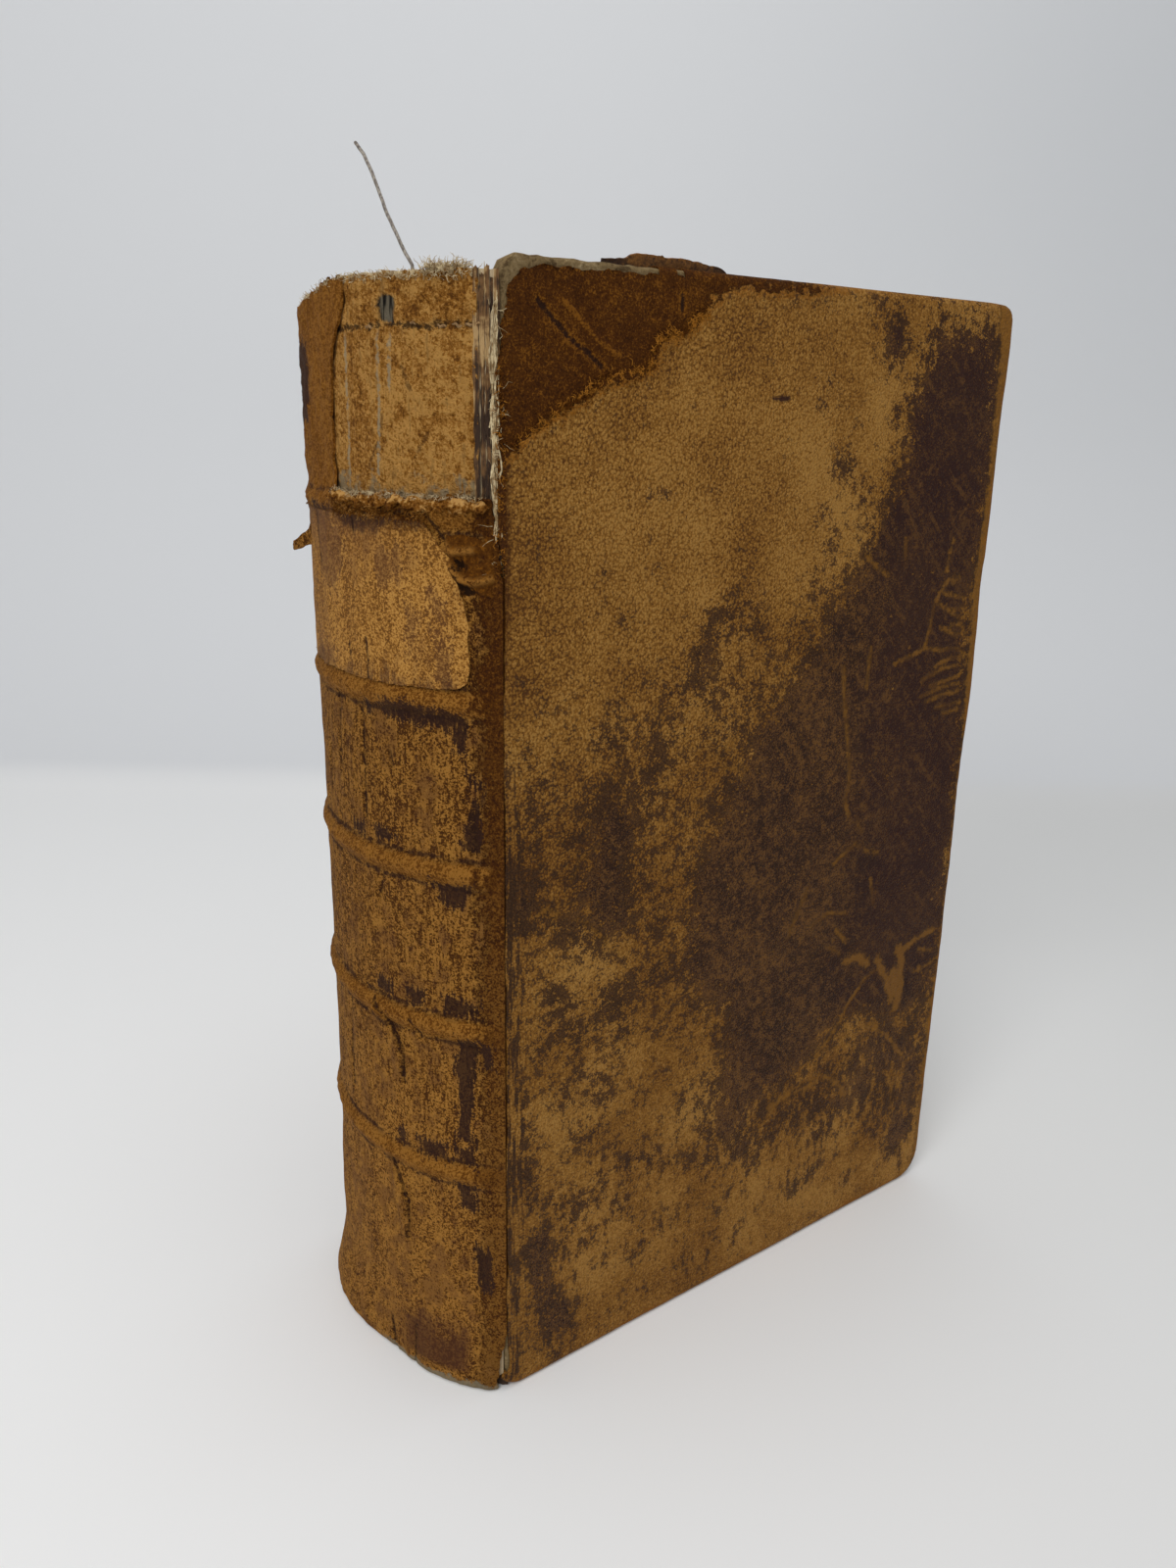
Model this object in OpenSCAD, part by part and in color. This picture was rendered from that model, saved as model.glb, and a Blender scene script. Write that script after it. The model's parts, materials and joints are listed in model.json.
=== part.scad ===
// Antique calf-bound bible, standing on its tail edge.
// +Z runs from tail to head, the spine faces -X and the front cover faces -Y.
// The origin is the middle of the book's footprint on the surface it stands on.

/* [Boards] */
// Height of each pasteboard
board_h = 228.4; // [180:0.2:280]
// Width of each pasteboard, from its spine edge to its fore-edge
board_w = 137; // [100:0.5:190]
// Thickness of each pasteboard
board_t = 3.2; // [2.4:0.1:5]
// Rounding of the worn corners at the tail of the fore-edge
tail_corner_r = 7; // [2:0.5:12]
// Rounding of the worn corners at the head of the fore-edge
head_corner_r = 3.5; // [1:0.5:10]
// Rounding of the corners beside the joint
joint_corner_r = 2.5; // [1:0.5:5]

/* [Leather] */
// Thickness of the covering leather
leather_t = 0.8; // [0.5:0.05:1.4]
// Thickness of the leather where it is pared and turned in
turn_in_t = 0.4; // [0.3:0.05:0.8]
// Width of the leather turned in over the inside of a board
turn_in_w = 14; // [8:0.5:20]
// Thickness of the title label on the spine
label_t = 0.35; // [0.2:0.05:0.6]
// Rounding of the title label's corners
label_corner_r = 2.5; // [1:0.25:5]

/* [Pages] */
// Thickness of the pages, pressed together
block_t = 60; // [36:1:90]
// How far the boards stand past the pages at head, tail and fore-edge
square = 3; // [2.2:0.1:5]
// Depth of the hollow in the fore-edge
fore_edge_hollow = 6; // [3:0.5:12]
// Thickness of an endpaper leaf
leaf_t = 0.25; // [0.15:0.05:0.5]
// Border of turned-in leather that the pastedown leaves bare
pastedown_border = 4; // [2:0.5:7]

/* [Spine] */
// How far the rounded spine stands out behind the joints
spine_round = 15; // [11:0.5:20]
// Diameter of the sewing cords under the raised bands
cord_d = 4.4; // [3:0.1:6]
// Height of the raised bands above the panels of the spine
band_raise = 1.5; // [0.8:0.1:2]
// Height of the lowest band's middle above the tail
first_band_z = 54.2; // [40:0.2:60]
// Distance of the highest band's middle below the head
last_band_d = 42.6; // [36:0.2:56]
// Distance along the spine from a band's end to the joint
band_run_out = 5.5; // [4.5:0.1:8]
// Distance of the kettle stitches from the head and tail of the pages
kettle_inset = 8.5; // [5:0.5:14]
// Thickness of the kettle stitch
kettle_d = 1; // [0.6:0.1:1.6]
// Thickness of the sewing thread that stands loose at the head
thread_d = 0.6; // [0.4:0.1:1]

/* [Lacing] */
// Thickness of a cord's end, frayed out in its board
slip_t = 0.6; // [0.4:0.1:1]
// Length of a cord's end in its board
slip_l = 15; // [10:1:25]
// Width of a cord's end where it is frayed out
slip_w = 11; // [7:0.5:16]

/* [Wear] */
// Length of the head edge, from the joint, that has lost its leather
edge_loss_l = 38; // [20:1:60]
// Depth of that loss below the head
edge_loss_d = 2; // [1.2:0.1:4]
// Width along the head of the patch where the grain of the leather has peeled off
peel_w = 46; // [20:1:70]
// Height of the peeled patch along the joint
peel_h = 32; // [15:1:60]
// Depth of the peeled patch
peel_depth = 0.35; // [0.1:0.05:0.45]
// Length of the turned-in leather that has lifted off at the head
flap_l = 28.5; // [15:0.5:50]
// Height of the lifted leather above the head
flap_rise = 2.6; // [1:0.1:5]
// Height of the torn corner of the title label
label_tear_h = 10; // [4:0.5:16]
// Depth of the tear down the joint, below the middle of the highest band
joint_tear_h = 10.5; // [6:0.5:20]
// Angle from the middle of the spine to the near end of the stub of the head endband
stub_from = 29; // [10:1:34]
// Angle from the middle of the spine to the far end of that stub
stub_to = 39; // [36:1:42]

/* [Clearances] */
// Gap between a pastedown and the flyleaf it faces
cover_gap = 0.3; // [0.2:0.05:0.8]
// Gap between a board's spine edge and the shoulder of the pages
joint_gap = 0.4; // [0.3:0.05:0.8]
// Gap between pieces that seat in one another
fit = 0.05; // [0.03:0.01:0.1]

/* [Hidden] */
$fn = 96;
eps = 0.5;
band_count = 5;

cover_h = board_h + 2 * leather_t;
cover_w = joint_gap + board_w + leather_t;
cover_t = leather_t + board_t + turn_in_t + leaf_t;
book_t = block_t + 2 * (cover_t + cover_gap + leaf_t);
page_z = square;
page_h = cover_h - 2 * square;
page_top = page_z + page_h;

// The spine is a round about an upright axis, from one joint to the other.
joint_x = (spine_round + band_raise - cover_w) / 2;
spine_r = (book_t * book_t / 4 + spine_round * spine_round) / (2 * spine_round);
spine_cx = joint_x - spine_round + spine_r;
spine_angle = asin(book_t / 2 / spine_r);
skin_in_r = spine_r - leather_t;
back_r = skin_in_r - fit;
fore_x = joint_x + cover_w - square;
hollow_r = (block_t * block_t / 4 + fore_edge_hollow * fore_edge_hollow) / (2 * fore_edge_hollow);
board_x = joint_x + joint_gap;
front_y = -book_t / 2;
board_y = front_y + leather_t;
turn_in_y = board_y + board_t;
pastedown_y = turn_in_y + turn_in_t;

band_skin_r = cord_d / 2 + fit + leather_t;
cord_path_r = spine_r + band_raise - band_skin_r;
band_half_w = sqrt(band_skin_r * band_skin_r - pow(spine_r - cord_path_r, 2));
band_pitch = (cover_h - first_band_z - last_band_d) / (band_count - 1);
band_angle = spine_angle - band_run_out / spine_r * 180 / PI;
fit_angle = fit / spine_r * 180 / PI;
band_skin_angle = band_angle + (leather_t + fit) / spine_r * 180 / PI;
endband_d = square - leather_t - 2 * fit;
tail_stop = band_angle - band_run_out / 2;
endband_path_r = back_r - endband_d / 2 - fit;
kettle_path_r = back_r - kettle_d / 2;
thread_path_r = back_r - thread_d;

function band_z(i) = first_band_z + (i - 1) * band_pitch;
function spine_y(angle) = spine_r * sin(angle);
function spine_point(r, angle, z) = [spine_cx - r * cos(angle), r * sin(angle), z];
head_band_z = band_z(band_count);
label_low_z = band_z(band_count - 1) + band_half_w + fit;
label_high_z = head_band_z - band_half_w - fit;

// Torn outlines on the spine: angle round from the middle towards the joint, and height.
loss_above_band = head_band_z + band_half_w;
top_panel_h = page_top - loss_above_band;
joint_tear_z = head_band_z - joint_tear_h;
spine_loss = [
    [-60, joint_tear_z], [-44.4, joint_tear_z], [-43.6, joint_tear_z + 0.6 * joint_tear_h],
    [-43, loss_above_band + 0.4], [-36, loss_above_band + 0.8], [-29, loss_above_band + 0.2],
    [-21, loss_above_band + 0.9], [-13, loss_above_band + 0.3], [-5.2, loss_above_band + 0.7],
    [-4.6, page_top - 0.73 * top_panel_h], [-5.6, page_top - 0.43 * top_panel_h],
    [-4.2, page_top - 0.19 * top_panel_h], [-5.2, page_top - 0.08 * top_panel_h],
    [-3.8, page_top + square], [-60, page_top + square]
];
label_cut = label_corner_r / spine_r * 180 / PI;
label_outline = [
    [-band_angle, label_high_z - label_tear_h], [-band_angle, label_low_z + label_corner_r],
    [-band_angle + label_cut / 3, label_low_z + label_corner_r / 3],
    [-band_angle + label_cut, label_low_z - eps], [band_angle - label_cut, label_low_z - eps],
    [band_angle - label_cut / 3, label_low_z + label_corner_r / 3],
    [band_angle, label_low_z + label_corner_r], [band_angle, label_high_z + eps],
    [-33.2, label_high_z + eps], [-34, label_high_z - 0.14 * label_tear_h],
    [-36.9, label_high_z - 0.4 * label_tear_h], [-36.5, label_high_z - 0.6 * label_tear_h]
];

// Outlines on the front cover: distance from the joint, and height below the head.
peel_shares = [
    [-0.02, -1], [0.17, -0.89], [0.28, -0.77], [0.43, -0.64], [0.61, -0.52], [0.72, -0.45],
    [0.78, -0.38], [0.87, -0.31], [0.97, -0.22], [1.01, -0.09], [0.98, 0.03], [-0.02, 0.03]
];
peel = [for (p = peel_shares) [p[0] * peel_w, p[1] * peel_h]];
flap_shares = [
    [0, 0.35], [0.12, 0.85], [0.35, 1], [0.75, 0.8], [0.91, 0.5], [1, 0.04]
];
flap_start = edge_loss_l + 0.37 * flap_l - flap_l;
flap_root = -4 * edge_loss_d;
lifted_turn_in = concat(
    [[flap_start, flap_root]],
    [for (p = flap_shares) [flap_start + p[0] * flap_l, p[1] * flap_rise]],
    [[flap_start + flap_l, flap_root]]
);

// The loose thread's route, as steps from where it leaves the head of the pages.
thread_root = spine_point(thread_path_r, -26.6, page_top);
thread_route = [
    [0, 0, 0], [0, 0, 0.7], [-0.2, 0.6, 1.6], [-0.4, 1.5, 2.6], [-0.5, 2.4, 3.7], [-0.5, 3.4, 4.8],
    [-0.4, 4.5, 5.9], [-0.4, 5.6, 7], [-0.3, 6.7, 8.1], [-0.3, 7.8, 9.2], [-0.2, 8.9, 10.4],
    [0, 10, 11.6], [0.1, 11.1, 12.8], [0.3, 12.3, 14], [0.4, 13.4, 15.2], [0.6, 14.6, 16.4],
    [0.7, 15.8, 17.6], [0.8, 17.1, 18.8], [0.9, 18.3, 20], [0.8, 19.7, 21.1], [0.7, 21, 22.2]
];
thread_sides = 8;

leather_color = [0.50, 0.32, 0.12];
label_color = [0.58, 0.40, 0.18];
page_color = [0.82, 0.76, 0.62];
endpaper_color = [0.86, 0.80, 0.66];
board_color = [0.55, 0.52, 0.46];
cord_color = [0.66, 0.58, 0.42];
thread_color = [0.72, 0.69, 0.62];

// A ring about the spine's axis, between two angles from the middle of the spine.
module round_spine(from, to) {
    translate([spine_cx, 0, 0])
        rotate([0, 0, 180 - to])
            rotate_extrude(angle = to - from)
                children();
}

// A cord bent round the spine.
module bent_cord(path_r, r, z, half_angle) {
    round_spine(-half_angle, half_angle)
        translate([path_r, z])
            circle(r = r);
}

// A cutter or a skin with an outline drawn on the spine, seen from behind the book.
module through_spine() {
    translate([joint_x - spine_round - band_raise - eps, 0, 0])
        rotate([90, 0, 90])
            linear_extrude(spine_round + band_raise + 2 * eps)
                children();
}

// A layer of the front cover: an outline in X and Z, from y inwards by t.
module cover_layer(y, t) {
    translate([0, y + t, 0])
        rotate([90, 0, 0])
            linear_extrude(t)
                children();
}

// What a rounding takes off a corner at the origin that points to +X and -Z.
module corner_cut(r) {
    difference() {
        translate([-r, -eps])
            square([r + eps, r + eps]);
        translate([-r, r])
            circle(r = r);
    }
}

// A board's outline with worn corners, grown past the pasteboard at its three outer edges.
module board_outline(grow) {
    low = leather_t - grow;
    high = leather_t + board_h + grow;
    right = board_x + board_w + grow;
    difference() {
        translate([board_x, low])
            square([right - board_x, high - low]);
        translate([right, low])
            corner_cut(tail_corner_r + grow);
        translate([right, high])
            mirror([0, 1])
                corner_cut(head_corner_r + grow);
        translate([board_x, low])
            mirror([1, 0])
                corner_cut(joint_corner_r);
        translate([board_x, high])
            mirror([1, 0])
                mirror([0, 1])
                    corner_cut(joint_corner_r);
    }
}

// The part of a board's inside that the turned-in leather leaves open.
module turn_in_window(shrink) {
    low = leather_t + turn_in_w + shrink;
    translate([board_x - eps + (shrink > 0 ? 2 * eps : 0), low])
        square([board_w - turn_in_w - shrink + eps - (shrink > 0 ? 2 * eps : 0), cover_h - 2 * low]);
}

// One frayed cord end, a fan from the joint, laid in the outside of a board.
module slip_outline(i, grow) {
    translate([board_x, band_z(i)])
        polygon([
            [-grow, -cord_d / 2 - grow], [slip_l + grow, -slip_w / 2 - grow],
            [slip_l + grow, slip_w / 2 + grow], [-grow, cord_d / 2 + grow]
        ]);
}

module board() {
    color(board_color)
        difference() {
            cover_layer(board_y, board_t)
                board_outline(0);
            for (i = [1 : band_count])
                cover_layer(board_y - eps, slip_t + fit + eps)
                    slip_outline(i, fit);
        }
}

module slips() {
    color(cord_color)
        for (i = [1 : band_count])
            cover_layer(board_y, slip_t)
                slip_outline(i, 0);
}

module cover_leather() {
    difference() {
        cover_layer(front_y, leather_t + board_t + turn_in_t)
            board_outline(leather_t);
        cover_layer(board_y, board_t) {
            board_outline(fit);
            translate([board_x - eps, leather_t - fit])
                square([joint_corner_r + eps, board_h + 2 * fit]);
        }
        cover_layer(turn_in_y - fit, turn_in_t + fit + eps)
            turn_in_window(0);
    }
}

module front_leather() {
    color(leather_color)
        union() {
            difference() {
                cover_leather();
                cover_layer(front_y - eps, cover_t + eps)
                    translate([board_x - eps, cover_h - edge_loss_d])
                        square([edge_loss_l + eps, edge_loss_d + eps]);
                cover_layer(front_y - eps, peel_depth + eps)
                    translate([joint_x, cover_h])
                        polygon(peel);
            }
            cover_layer(turn_in_y, turn_in_t)
                translate([joint_x, cover_h])
                    polygon(lifted_turn_in);
        }
}

module back_leather() {
    color(leather_color)
        mirror([0, 1, 0])
            cover_leather();
}

module pastedown() {
    color(endpaper_color)
        union() {
            cover_layer(pastedown_y, leaf_t)
                translate([board_x + eps, leather_t + pastedown_border])
                    square([board_w - pastedown_border - eps, board_h - 2 * pastedown_border]);
            cover_layer(turn_in_y, turn_in_t)
                turn_in_window(fit);
        }
}

module flyleaf() {
    color(endpaper_color)
        cover_layer(-block_t / 2 - leaf_t, leaf_t)
            translate([joint_x + joint_gap, page_z])
                square([fore_x - joint_x - joint_gap, page_h]);
}

module page_outline() {
    difference() {
        union() {
            intersection() {
                translate([spine_cx, 0])
                    circle(r = back_r);
                translate([joint_x - spine_round, -book_t / 2])
                    square([spine_round, book_t]);
            }
            translate([joint_x - eps, -block_t / 2])
                square([fore_x - joint_x + eps, block_t]);
        }
        translate([fore_x - fore_edge_hollow + hollow_r, 0])
            circle(r = hollow_r);
    }
}

module text_block() {
    color(page_color)
        difference() {
            translate([0, 0, page_z])
                linear_extrude(page_h)
                    page_outline();
            for (i = [1 : band_count])
                bent_cord(cord_path_r, cord_d / 2 + fit, band_z(i), band_angle + fit_angle);
            for (z = [page_z + kettle_inset, page_top - kettle_inset])
                round_spine(-band_angle - fit_angle, band_angle + fit_angle)
                    translate([back_r - kettle_d - fit, z - kettle_d / 2 - fit])
                        square([kettle_d + fit + eps, kettle_d + 2 * fit]);
        }
}

module sewing_cord(i) {
    color(cord_color)
        bent_cord(cord_path_r, cord_d / 2, band_z(i), band_angle);
}

module kettle_stitch(z) {
    color(thread_color)
        bent_cord(kettle_path_r, kettle_d / 2, z, band_angle);
}

// Only a stub of the endband is left at the head; the one at the tail is whole.
module endband(z, from, to) {
    color(cord_color)
        round_spine(from, to)
            translate([endband_path_r, z])
                circle(r = endband_d / 2);
}

// Half of a band's section, rooted in the thickness of the spine's skin.
module band_section(i) {
    root_r = skin_in_r + leather_t / 2;
    intersection() {
        translate([cord_path_r, band_z(i)])
            circle(r = band_skin_r);
        translate([root_r, band_z(i) - 2 * band_skin_r])
            square([2 * band_skin_r, 4 * band_skin_r]);
    }
}

// The spine's skin: the panels, the bands over the cords and the cap turned in at the tail.
module spine_leather() {
    cap_r = endband_path_r - endband_d / 2;
    color(leather_color)
        difference() {
            union() {
                round_spine(-spine_angle - 5, spine_angle + 5)
                    translate([skin_in_r, 0])
                        square([leather_t, page_top]);
                round_spine(-band_angle, band_angle)
                    translate([cap_r, 0])
                        square([skin_in_r + leather_t / 2 - cap_r, leather_t]);
                for (i = [1 : band_count])
                    round_spine(-band_skin_angle, band_skin_angle)
                        band_section(i);
            }
            for (i = [1 : band_count])
                bent_cord(cord_path_r, cord_d / 2 + fit, band_z(i), band_angle + fit_angle);
            translate([joint_x, -book_t, -eps])
                cube([spine_round, 2 * book_t, cover_h]);
            through_spine()
                polygon([for (p = spine_loss) [spine_y(p[0]), p[1]]]);
        }
}

module title_label() {
    color(label_color)
        intersection() {
            round_spine(-spine_angle, spine_angle)
                translate([spine_r + fit, label_low_z])
                    square([label_t, label_high_z - label_low_z]);
            through_spine()
                polygon([for (p = label_outline) [spine_y(p[0]), p[1]]]);
        }
}

// The loose thread: rings of points square to its route, joined into one closed tube.
function unit(v) = v / norm(v);
function route_dir(i) =
    let (last = len(thread_route) - 1)
    i == 0 ? unit(thread_route[1] - thread_route[0])
    : i == last ? unit(thread_route[last] - thread_route[last - 1])
    : unit(unit(thread_route[i + 1] - thread_route[i]) + unit(thread_route[i] - thread_route[i - 1]));
function thread_ring(i) =
    let (along = route_dir(i), side = unit(cross(along, [1, 0, 0])), up = cross(along, side))
    [for (k = [0 : thread_sides - 1])
        let (a = 360 * k / thread_sides)
        thread_root + thread_route[i] + thread_d / 2 * (cos(a) * side + sin(a) * up)];

module loose_thread() {
    rings = len(thread_route);
    points = [for (i = [0 : rings - 1]) each thread_ring(i)];
    walls = [for (i = [0 : rings - 2], k = [0 : thread_sides - 1])
        let (next = (k + 1) % thread_sides)
        each [
            [i * thread_sides + k, i * thread_sides + next, (i + 1) * thread_sides + next],
            [i * thread_sides + k, (i + 1) * thread_sides + next, (i + 1) * thread_sides + k]
        ]];
    start = [for (k = [thread_sides - 1 : -1 : 0]) k];
    finish = [for (k = [0 : thread_sides - 1]) (rings - 1) * thread_sides + k];
    color(thread_color)
        polyhedron(points = points, faces = concat(walls, [start, finish]));
}

text_block();
kettle_stitch(page_top - kettle_inset);  // head_kettle_stitch
kettle_stitch(page_z + kettle_inset);  // tail_kettle_stitch
endband(page_top + endband_d / 2 + fit, -stub_to, -stub_from);  // head_endband
endband(page_z - endband_d / 2 - fit, -tail_stop, tail_stop);  // tail_endband
spine_leather();
title_label();
flyleaf();  // front_flyleaf
mirror([0, 1, 0]) flyleaf();  // back_flyleaf
loose_thread();
board();  // front_board
slips();  // front_slips
front_leather();
pastedown();  // front_pastedown
mirror([0, 1, 0]) board();  // back_board
mirror([0, 1, 0]) slips();  // back_slips
back_leather();
mirror([0, 1, 0]) pastedown();  // back_pastedown
for (i = [1 : band_count])
    sewing_cord(i);
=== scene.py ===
import json
import math
import random
import bpy
import numpy as np
from mathutils import Matrix, Vector, noise


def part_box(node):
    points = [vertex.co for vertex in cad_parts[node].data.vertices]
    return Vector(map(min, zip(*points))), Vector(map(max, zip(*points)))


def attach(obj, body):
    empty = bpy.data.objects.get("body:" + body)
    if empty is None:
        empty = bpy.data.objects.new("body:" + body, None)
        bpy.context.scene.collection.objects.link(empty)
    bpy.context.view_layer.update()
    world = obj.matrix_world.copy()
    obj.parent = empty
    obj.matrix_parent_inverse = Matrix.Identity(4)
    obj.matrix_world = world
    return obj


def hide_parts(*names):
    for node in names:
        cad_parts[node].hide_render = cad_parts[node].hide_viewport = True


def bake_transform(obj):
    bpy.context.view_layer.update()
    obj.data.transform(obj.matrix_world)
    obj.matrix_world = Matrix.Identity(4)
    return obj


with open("model.json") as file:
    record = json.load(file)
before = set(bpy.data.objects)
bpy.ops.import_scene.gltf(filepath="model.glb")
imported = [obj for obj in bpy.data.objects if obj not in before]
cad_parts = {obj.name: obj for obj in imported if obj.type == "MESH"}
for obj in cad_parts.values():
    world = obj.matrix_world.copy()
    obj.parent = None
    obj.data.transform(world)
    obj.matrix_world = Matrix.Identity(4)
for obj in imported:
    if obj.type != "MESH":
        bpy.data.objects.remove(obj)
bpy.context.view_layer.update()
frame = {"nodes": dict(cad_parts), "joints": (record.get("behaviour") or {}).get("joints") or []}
mm = 0.001  # shapes are worked out in millimetres, meshes are in metres
print("frame loaded")


# Sizes of the bound book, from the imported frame
def nodeBox(node):
    return [np.array(corner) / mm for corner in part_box(node)]


hinges = {joint["name"]: joint for joint in frame["joints"]}
backHigh = nodeBox("back_leather")[1]
blockLow, blockHigh = nodeBox("text_block")
boardLow, boardHigh = nodeBox("front_board")
pastedownLow = nodeBox("front_pastedown")[0]
flyleafHigh = nodeBox("front_flyleaf")[1]
leatherT = 0.8
fit = 0.05  # clearance between the pages and the spine's leather
jointX = hinges["front_cover_hinge"]["pos_m"][0] / mm
halfT = backHigh[1]
coverH = backHigh[2]
coverW = backHigh[0] - jointX
coverT = halfT + pastedownLow[1]  # from the outside of a cover to its turned-in leather
headZ = blockHigh[2]
spineRound = jointX - blockLow[0] + leatherT + fit
spineR = (halfT ** 2 + spineRound ** 2) / (2 * spineRound)
spineCx = jointX - spineRound + spineR
spineEnd = math.degrees(math.asin(halfT / spineR))
perDegree = math.radians(spineR)  # millimetres of spine in one degree
cordLow, cordHigh = nodeBox("sewing_cord_1")
cordR = (cordHigh[2] - cordLow[2]) / 2
cordOut = spineCx - cordLow[0] - spineR  # how far a sewing cord stands off the round of the spine
bandZ = [float(sum(corner[2] for corner in nodeBox(f"sewing_cord_{i}")) / 2) for i in range(1, 6)]


# Small tools for modelling
def clearSelection():
    if bpy.context.mode != "OBJECT":
        bpy.ops.object.mode_set(mode="OBJECT")
    bpy.ops.object.select_all(action="DESELECT")


def workOn(piece):
    clearSelection()
    piece.select_set(True)
    bpy.context.view_layer.objects.active = piece


def readPoints(piece):
    flat = np.zeros(len(piece.data.vertices) * 3)
    piece.data.vertices.foreach_get("co", flat)
    return flat.reshape(-1, 3) / mm


def writePoints(piece, points):
    piece.data.vertices.foreach_set("co", (points * mm).ravel())
    piece.data.update()


def gridSheet(name, across, up):  # a new sheet, and its points as shares of its two sides
    clearSelection()
    bpy.ops.mesh.primitive_grid_add(x_subdivisions=int(across), y_subdivisions=int(up), size=1)
    sheet = bpy.context.object
    sheet.name = name
    sheet.data.name = name
    return sheet, readPoints(sheet)[:, :2] * mm + 0.5


def pickPoints(piece, picked):
    piece.data.vertices.foreach_set("select", np.asarray(picked, bool))
    piece.data.edges.foreach_set("select", np.zeros(len(piece.data.edges), bool))
    piece.data.polygons.foreach_set("select", np.zeros(len(piece.data.polygons), bool))
    workOn(piece)
    bpy.ops.object.mode_set(mode="EDIT")
    bpy.ops.mesh.select_mode(type="VERT")


def dropPoints(piece, dropped):
    pickPoints(piece, dropped)
    bpy.ops.mesh.delete(type="VERT")
    bpy.ops.object.mode_set(mode="OBJECT")


def cutFiner(sheet, picked):  # halves the cells of one part of a new sheet
    pickPoints(sheet, picked)
    bpy.ops.mesh.subdivide(number_cuts=1)
    bpy.ops.object.mode_set(mode="OBJECT")
    return readPoints(sheet)[:, :2] * mm + 0.5


def finishWith(piece, kind, **settings):
    workOn(piece)
    modifier = piece.modifiers.new(kind.title(), kind)
    for name, value in settings.items():
        setattr(modifier, name, value)
    bpy.ops.object.modifier_apply(modifier=modifier.name)


def faceTowards(piece, outward):  # turns a sheet over if its faces look the wrong way
    normals = np.zeros(len(piece.data.polygons) * 3)
    piece.data.polygons.foreach_get("normal", normals)
    if normals.reshape(-1, 3).mean(0) @ np.array(outward) < 0:
        pickPoints(piece, np.ones(len(piece.data.vertices), bool))
        bpy.ops.mesh.flip_normals()
        bpy.ops.object.mode_set(mode="OBJECT")


def smooth(piece, angle=50):
    workOn(piece)
    bpy.ops.object.shade_smooth_by_angle(angle=math.radians(angle))


def paintFields(piece, **fields):  # values on a sheet's points, for its material
    for name, values in fields.items():
        layer = piece.data.attributes.new(name, "FLOAT", "POINT")
        layer.data.foreach_set("value", np.asarray(values, np.float32))


def ease(values, low, high):  # 0 below low, 1 above high, smooth between
    share = np.clip((values - low) / (high - low), 0, 1)
    return share * share * (3 - 2 * share)


def bell(values, width):  # 1 at 0, fading both ways over that width
    return np.exp(-(values / width) ** 2)


def cloud(points, size, octaves=4, shift=0.0):  # soft noise about 0, with lumps of that size
    points = np.asarray(points, float)
    if points.shape[1] == 2:
        points = np.column_stack([points, np.zeros(len(points))])
    return np.array([noise.fractal(spot, 1.0, 2.0, octaves) for spot in points / size + shift])


def rowCloud(values, size, octaves, shift):  # the same noise along a line
    return cloud(np.column_stack([values, values * 0]), size, octaves, shift)


def strokeDistance(points, stroke):
    best = np.full(len(points), 1e6)
    for start, end in zip(stroke, stroke[1:]):
        start, along = np.array(start, float), np.subtract(end, start).astype(float)
        share = np.clip((points - start) @ along / max(along @ along, 1e-9), 0, 1)
        best = np.minimum(best, np.hypot(*(points - start - share[:, None] * along).T))
    return best


def outlineDistance(points, outline):  # below 0 inside a closed outline
    distance = strokeDistance(points, list(outline) + [outline[0]])
    inside = np.zeros(len(points), bool)
    for (x0, y0), (x1, y1) in zip(outline, list(outline[1:]) + [outline[0]]):
        if y0 != y1:
            crossing = (points[:, 1] < y0) != (points[:, 1] < y1)
            inside ^= crossing & (points[:, 0] < x0 + (points[:, 1] - y0) / (y1 - y0) * (x1 - x0))
    return np.where(inside, -distance, distance)


def nearest(points, strokes):
    return np.min([strokeDistance(points, stroke) for stroke in strokes], axis=0)


def slopeOf(field, points, step=0.05):
    here = field(points)
    across = (field(points + np.array([step, 0])) - here) / step
    up = (field(points + np.array([0, step])) - here) / step
    return here, np.column_stack([across, up])


def snapToEdge(points, field, cell):  # moves points near a tear onto it, and says which lie outside
    here = field(points)
    near = np.abs(here) < 0.75 * cell
    for turn in range(4):
        here, slope = slopeOf(field, points[near])
        points[near] -= slope * (here / np.maximum((slope ** 2).sum(1), 0.5))[:, None] * 0.8
    return points, (field(points) > 0) & ~near


def onSpine(angle, z, radius):
    angle = np.radians(angle)
    return np.column_stack([spineCx - radius * np.cos(angle), radius * np.sin(angle), z])


def onCover(flat, depth, side):  # side is -1 for the front cover and 1 for the back cover
    return np.column_stack([jointX + flat[:, 0], side * (halfT - depth), flat[:, 1]])


def offCover(points):  # a cover's points, as distances from its joint and its tail
    return points[:, [0, 2]] - [jointX, 0]


def arc(points):  # a spine outline in degrees and millimetres, as millimetres both ways
    return [(angle * perDegree, z) for angle, z in points]


def strokesOnSpine(flat, strokes):
    return nearest(flat, [arc(stroke) for stroke in strokes])


def spotsOnSpine(flat, spots):
    return np.min([outlineDistance(flat, arc(spot)) for spot in spots], axis=0)


def place(piece, body, slot, *nodes):
    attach(piece, body)
    if nodes:
        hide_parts(*nodes)


def wear(piece, material):
    piece.data.materials.clear()
    piece.data.materials.append(material)


def finishSheet(sheet, outward, thickness, finish, offset=-1, angle=50):  # faces, wall, shading and look
    faceTowards(sheet, outward)
    finishWith(sheet, "SOLIDIFY", thickness=thickness * mm, offset=offset)
    smooth(sheet, angle)
    wear(sheet, finish)


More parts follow.
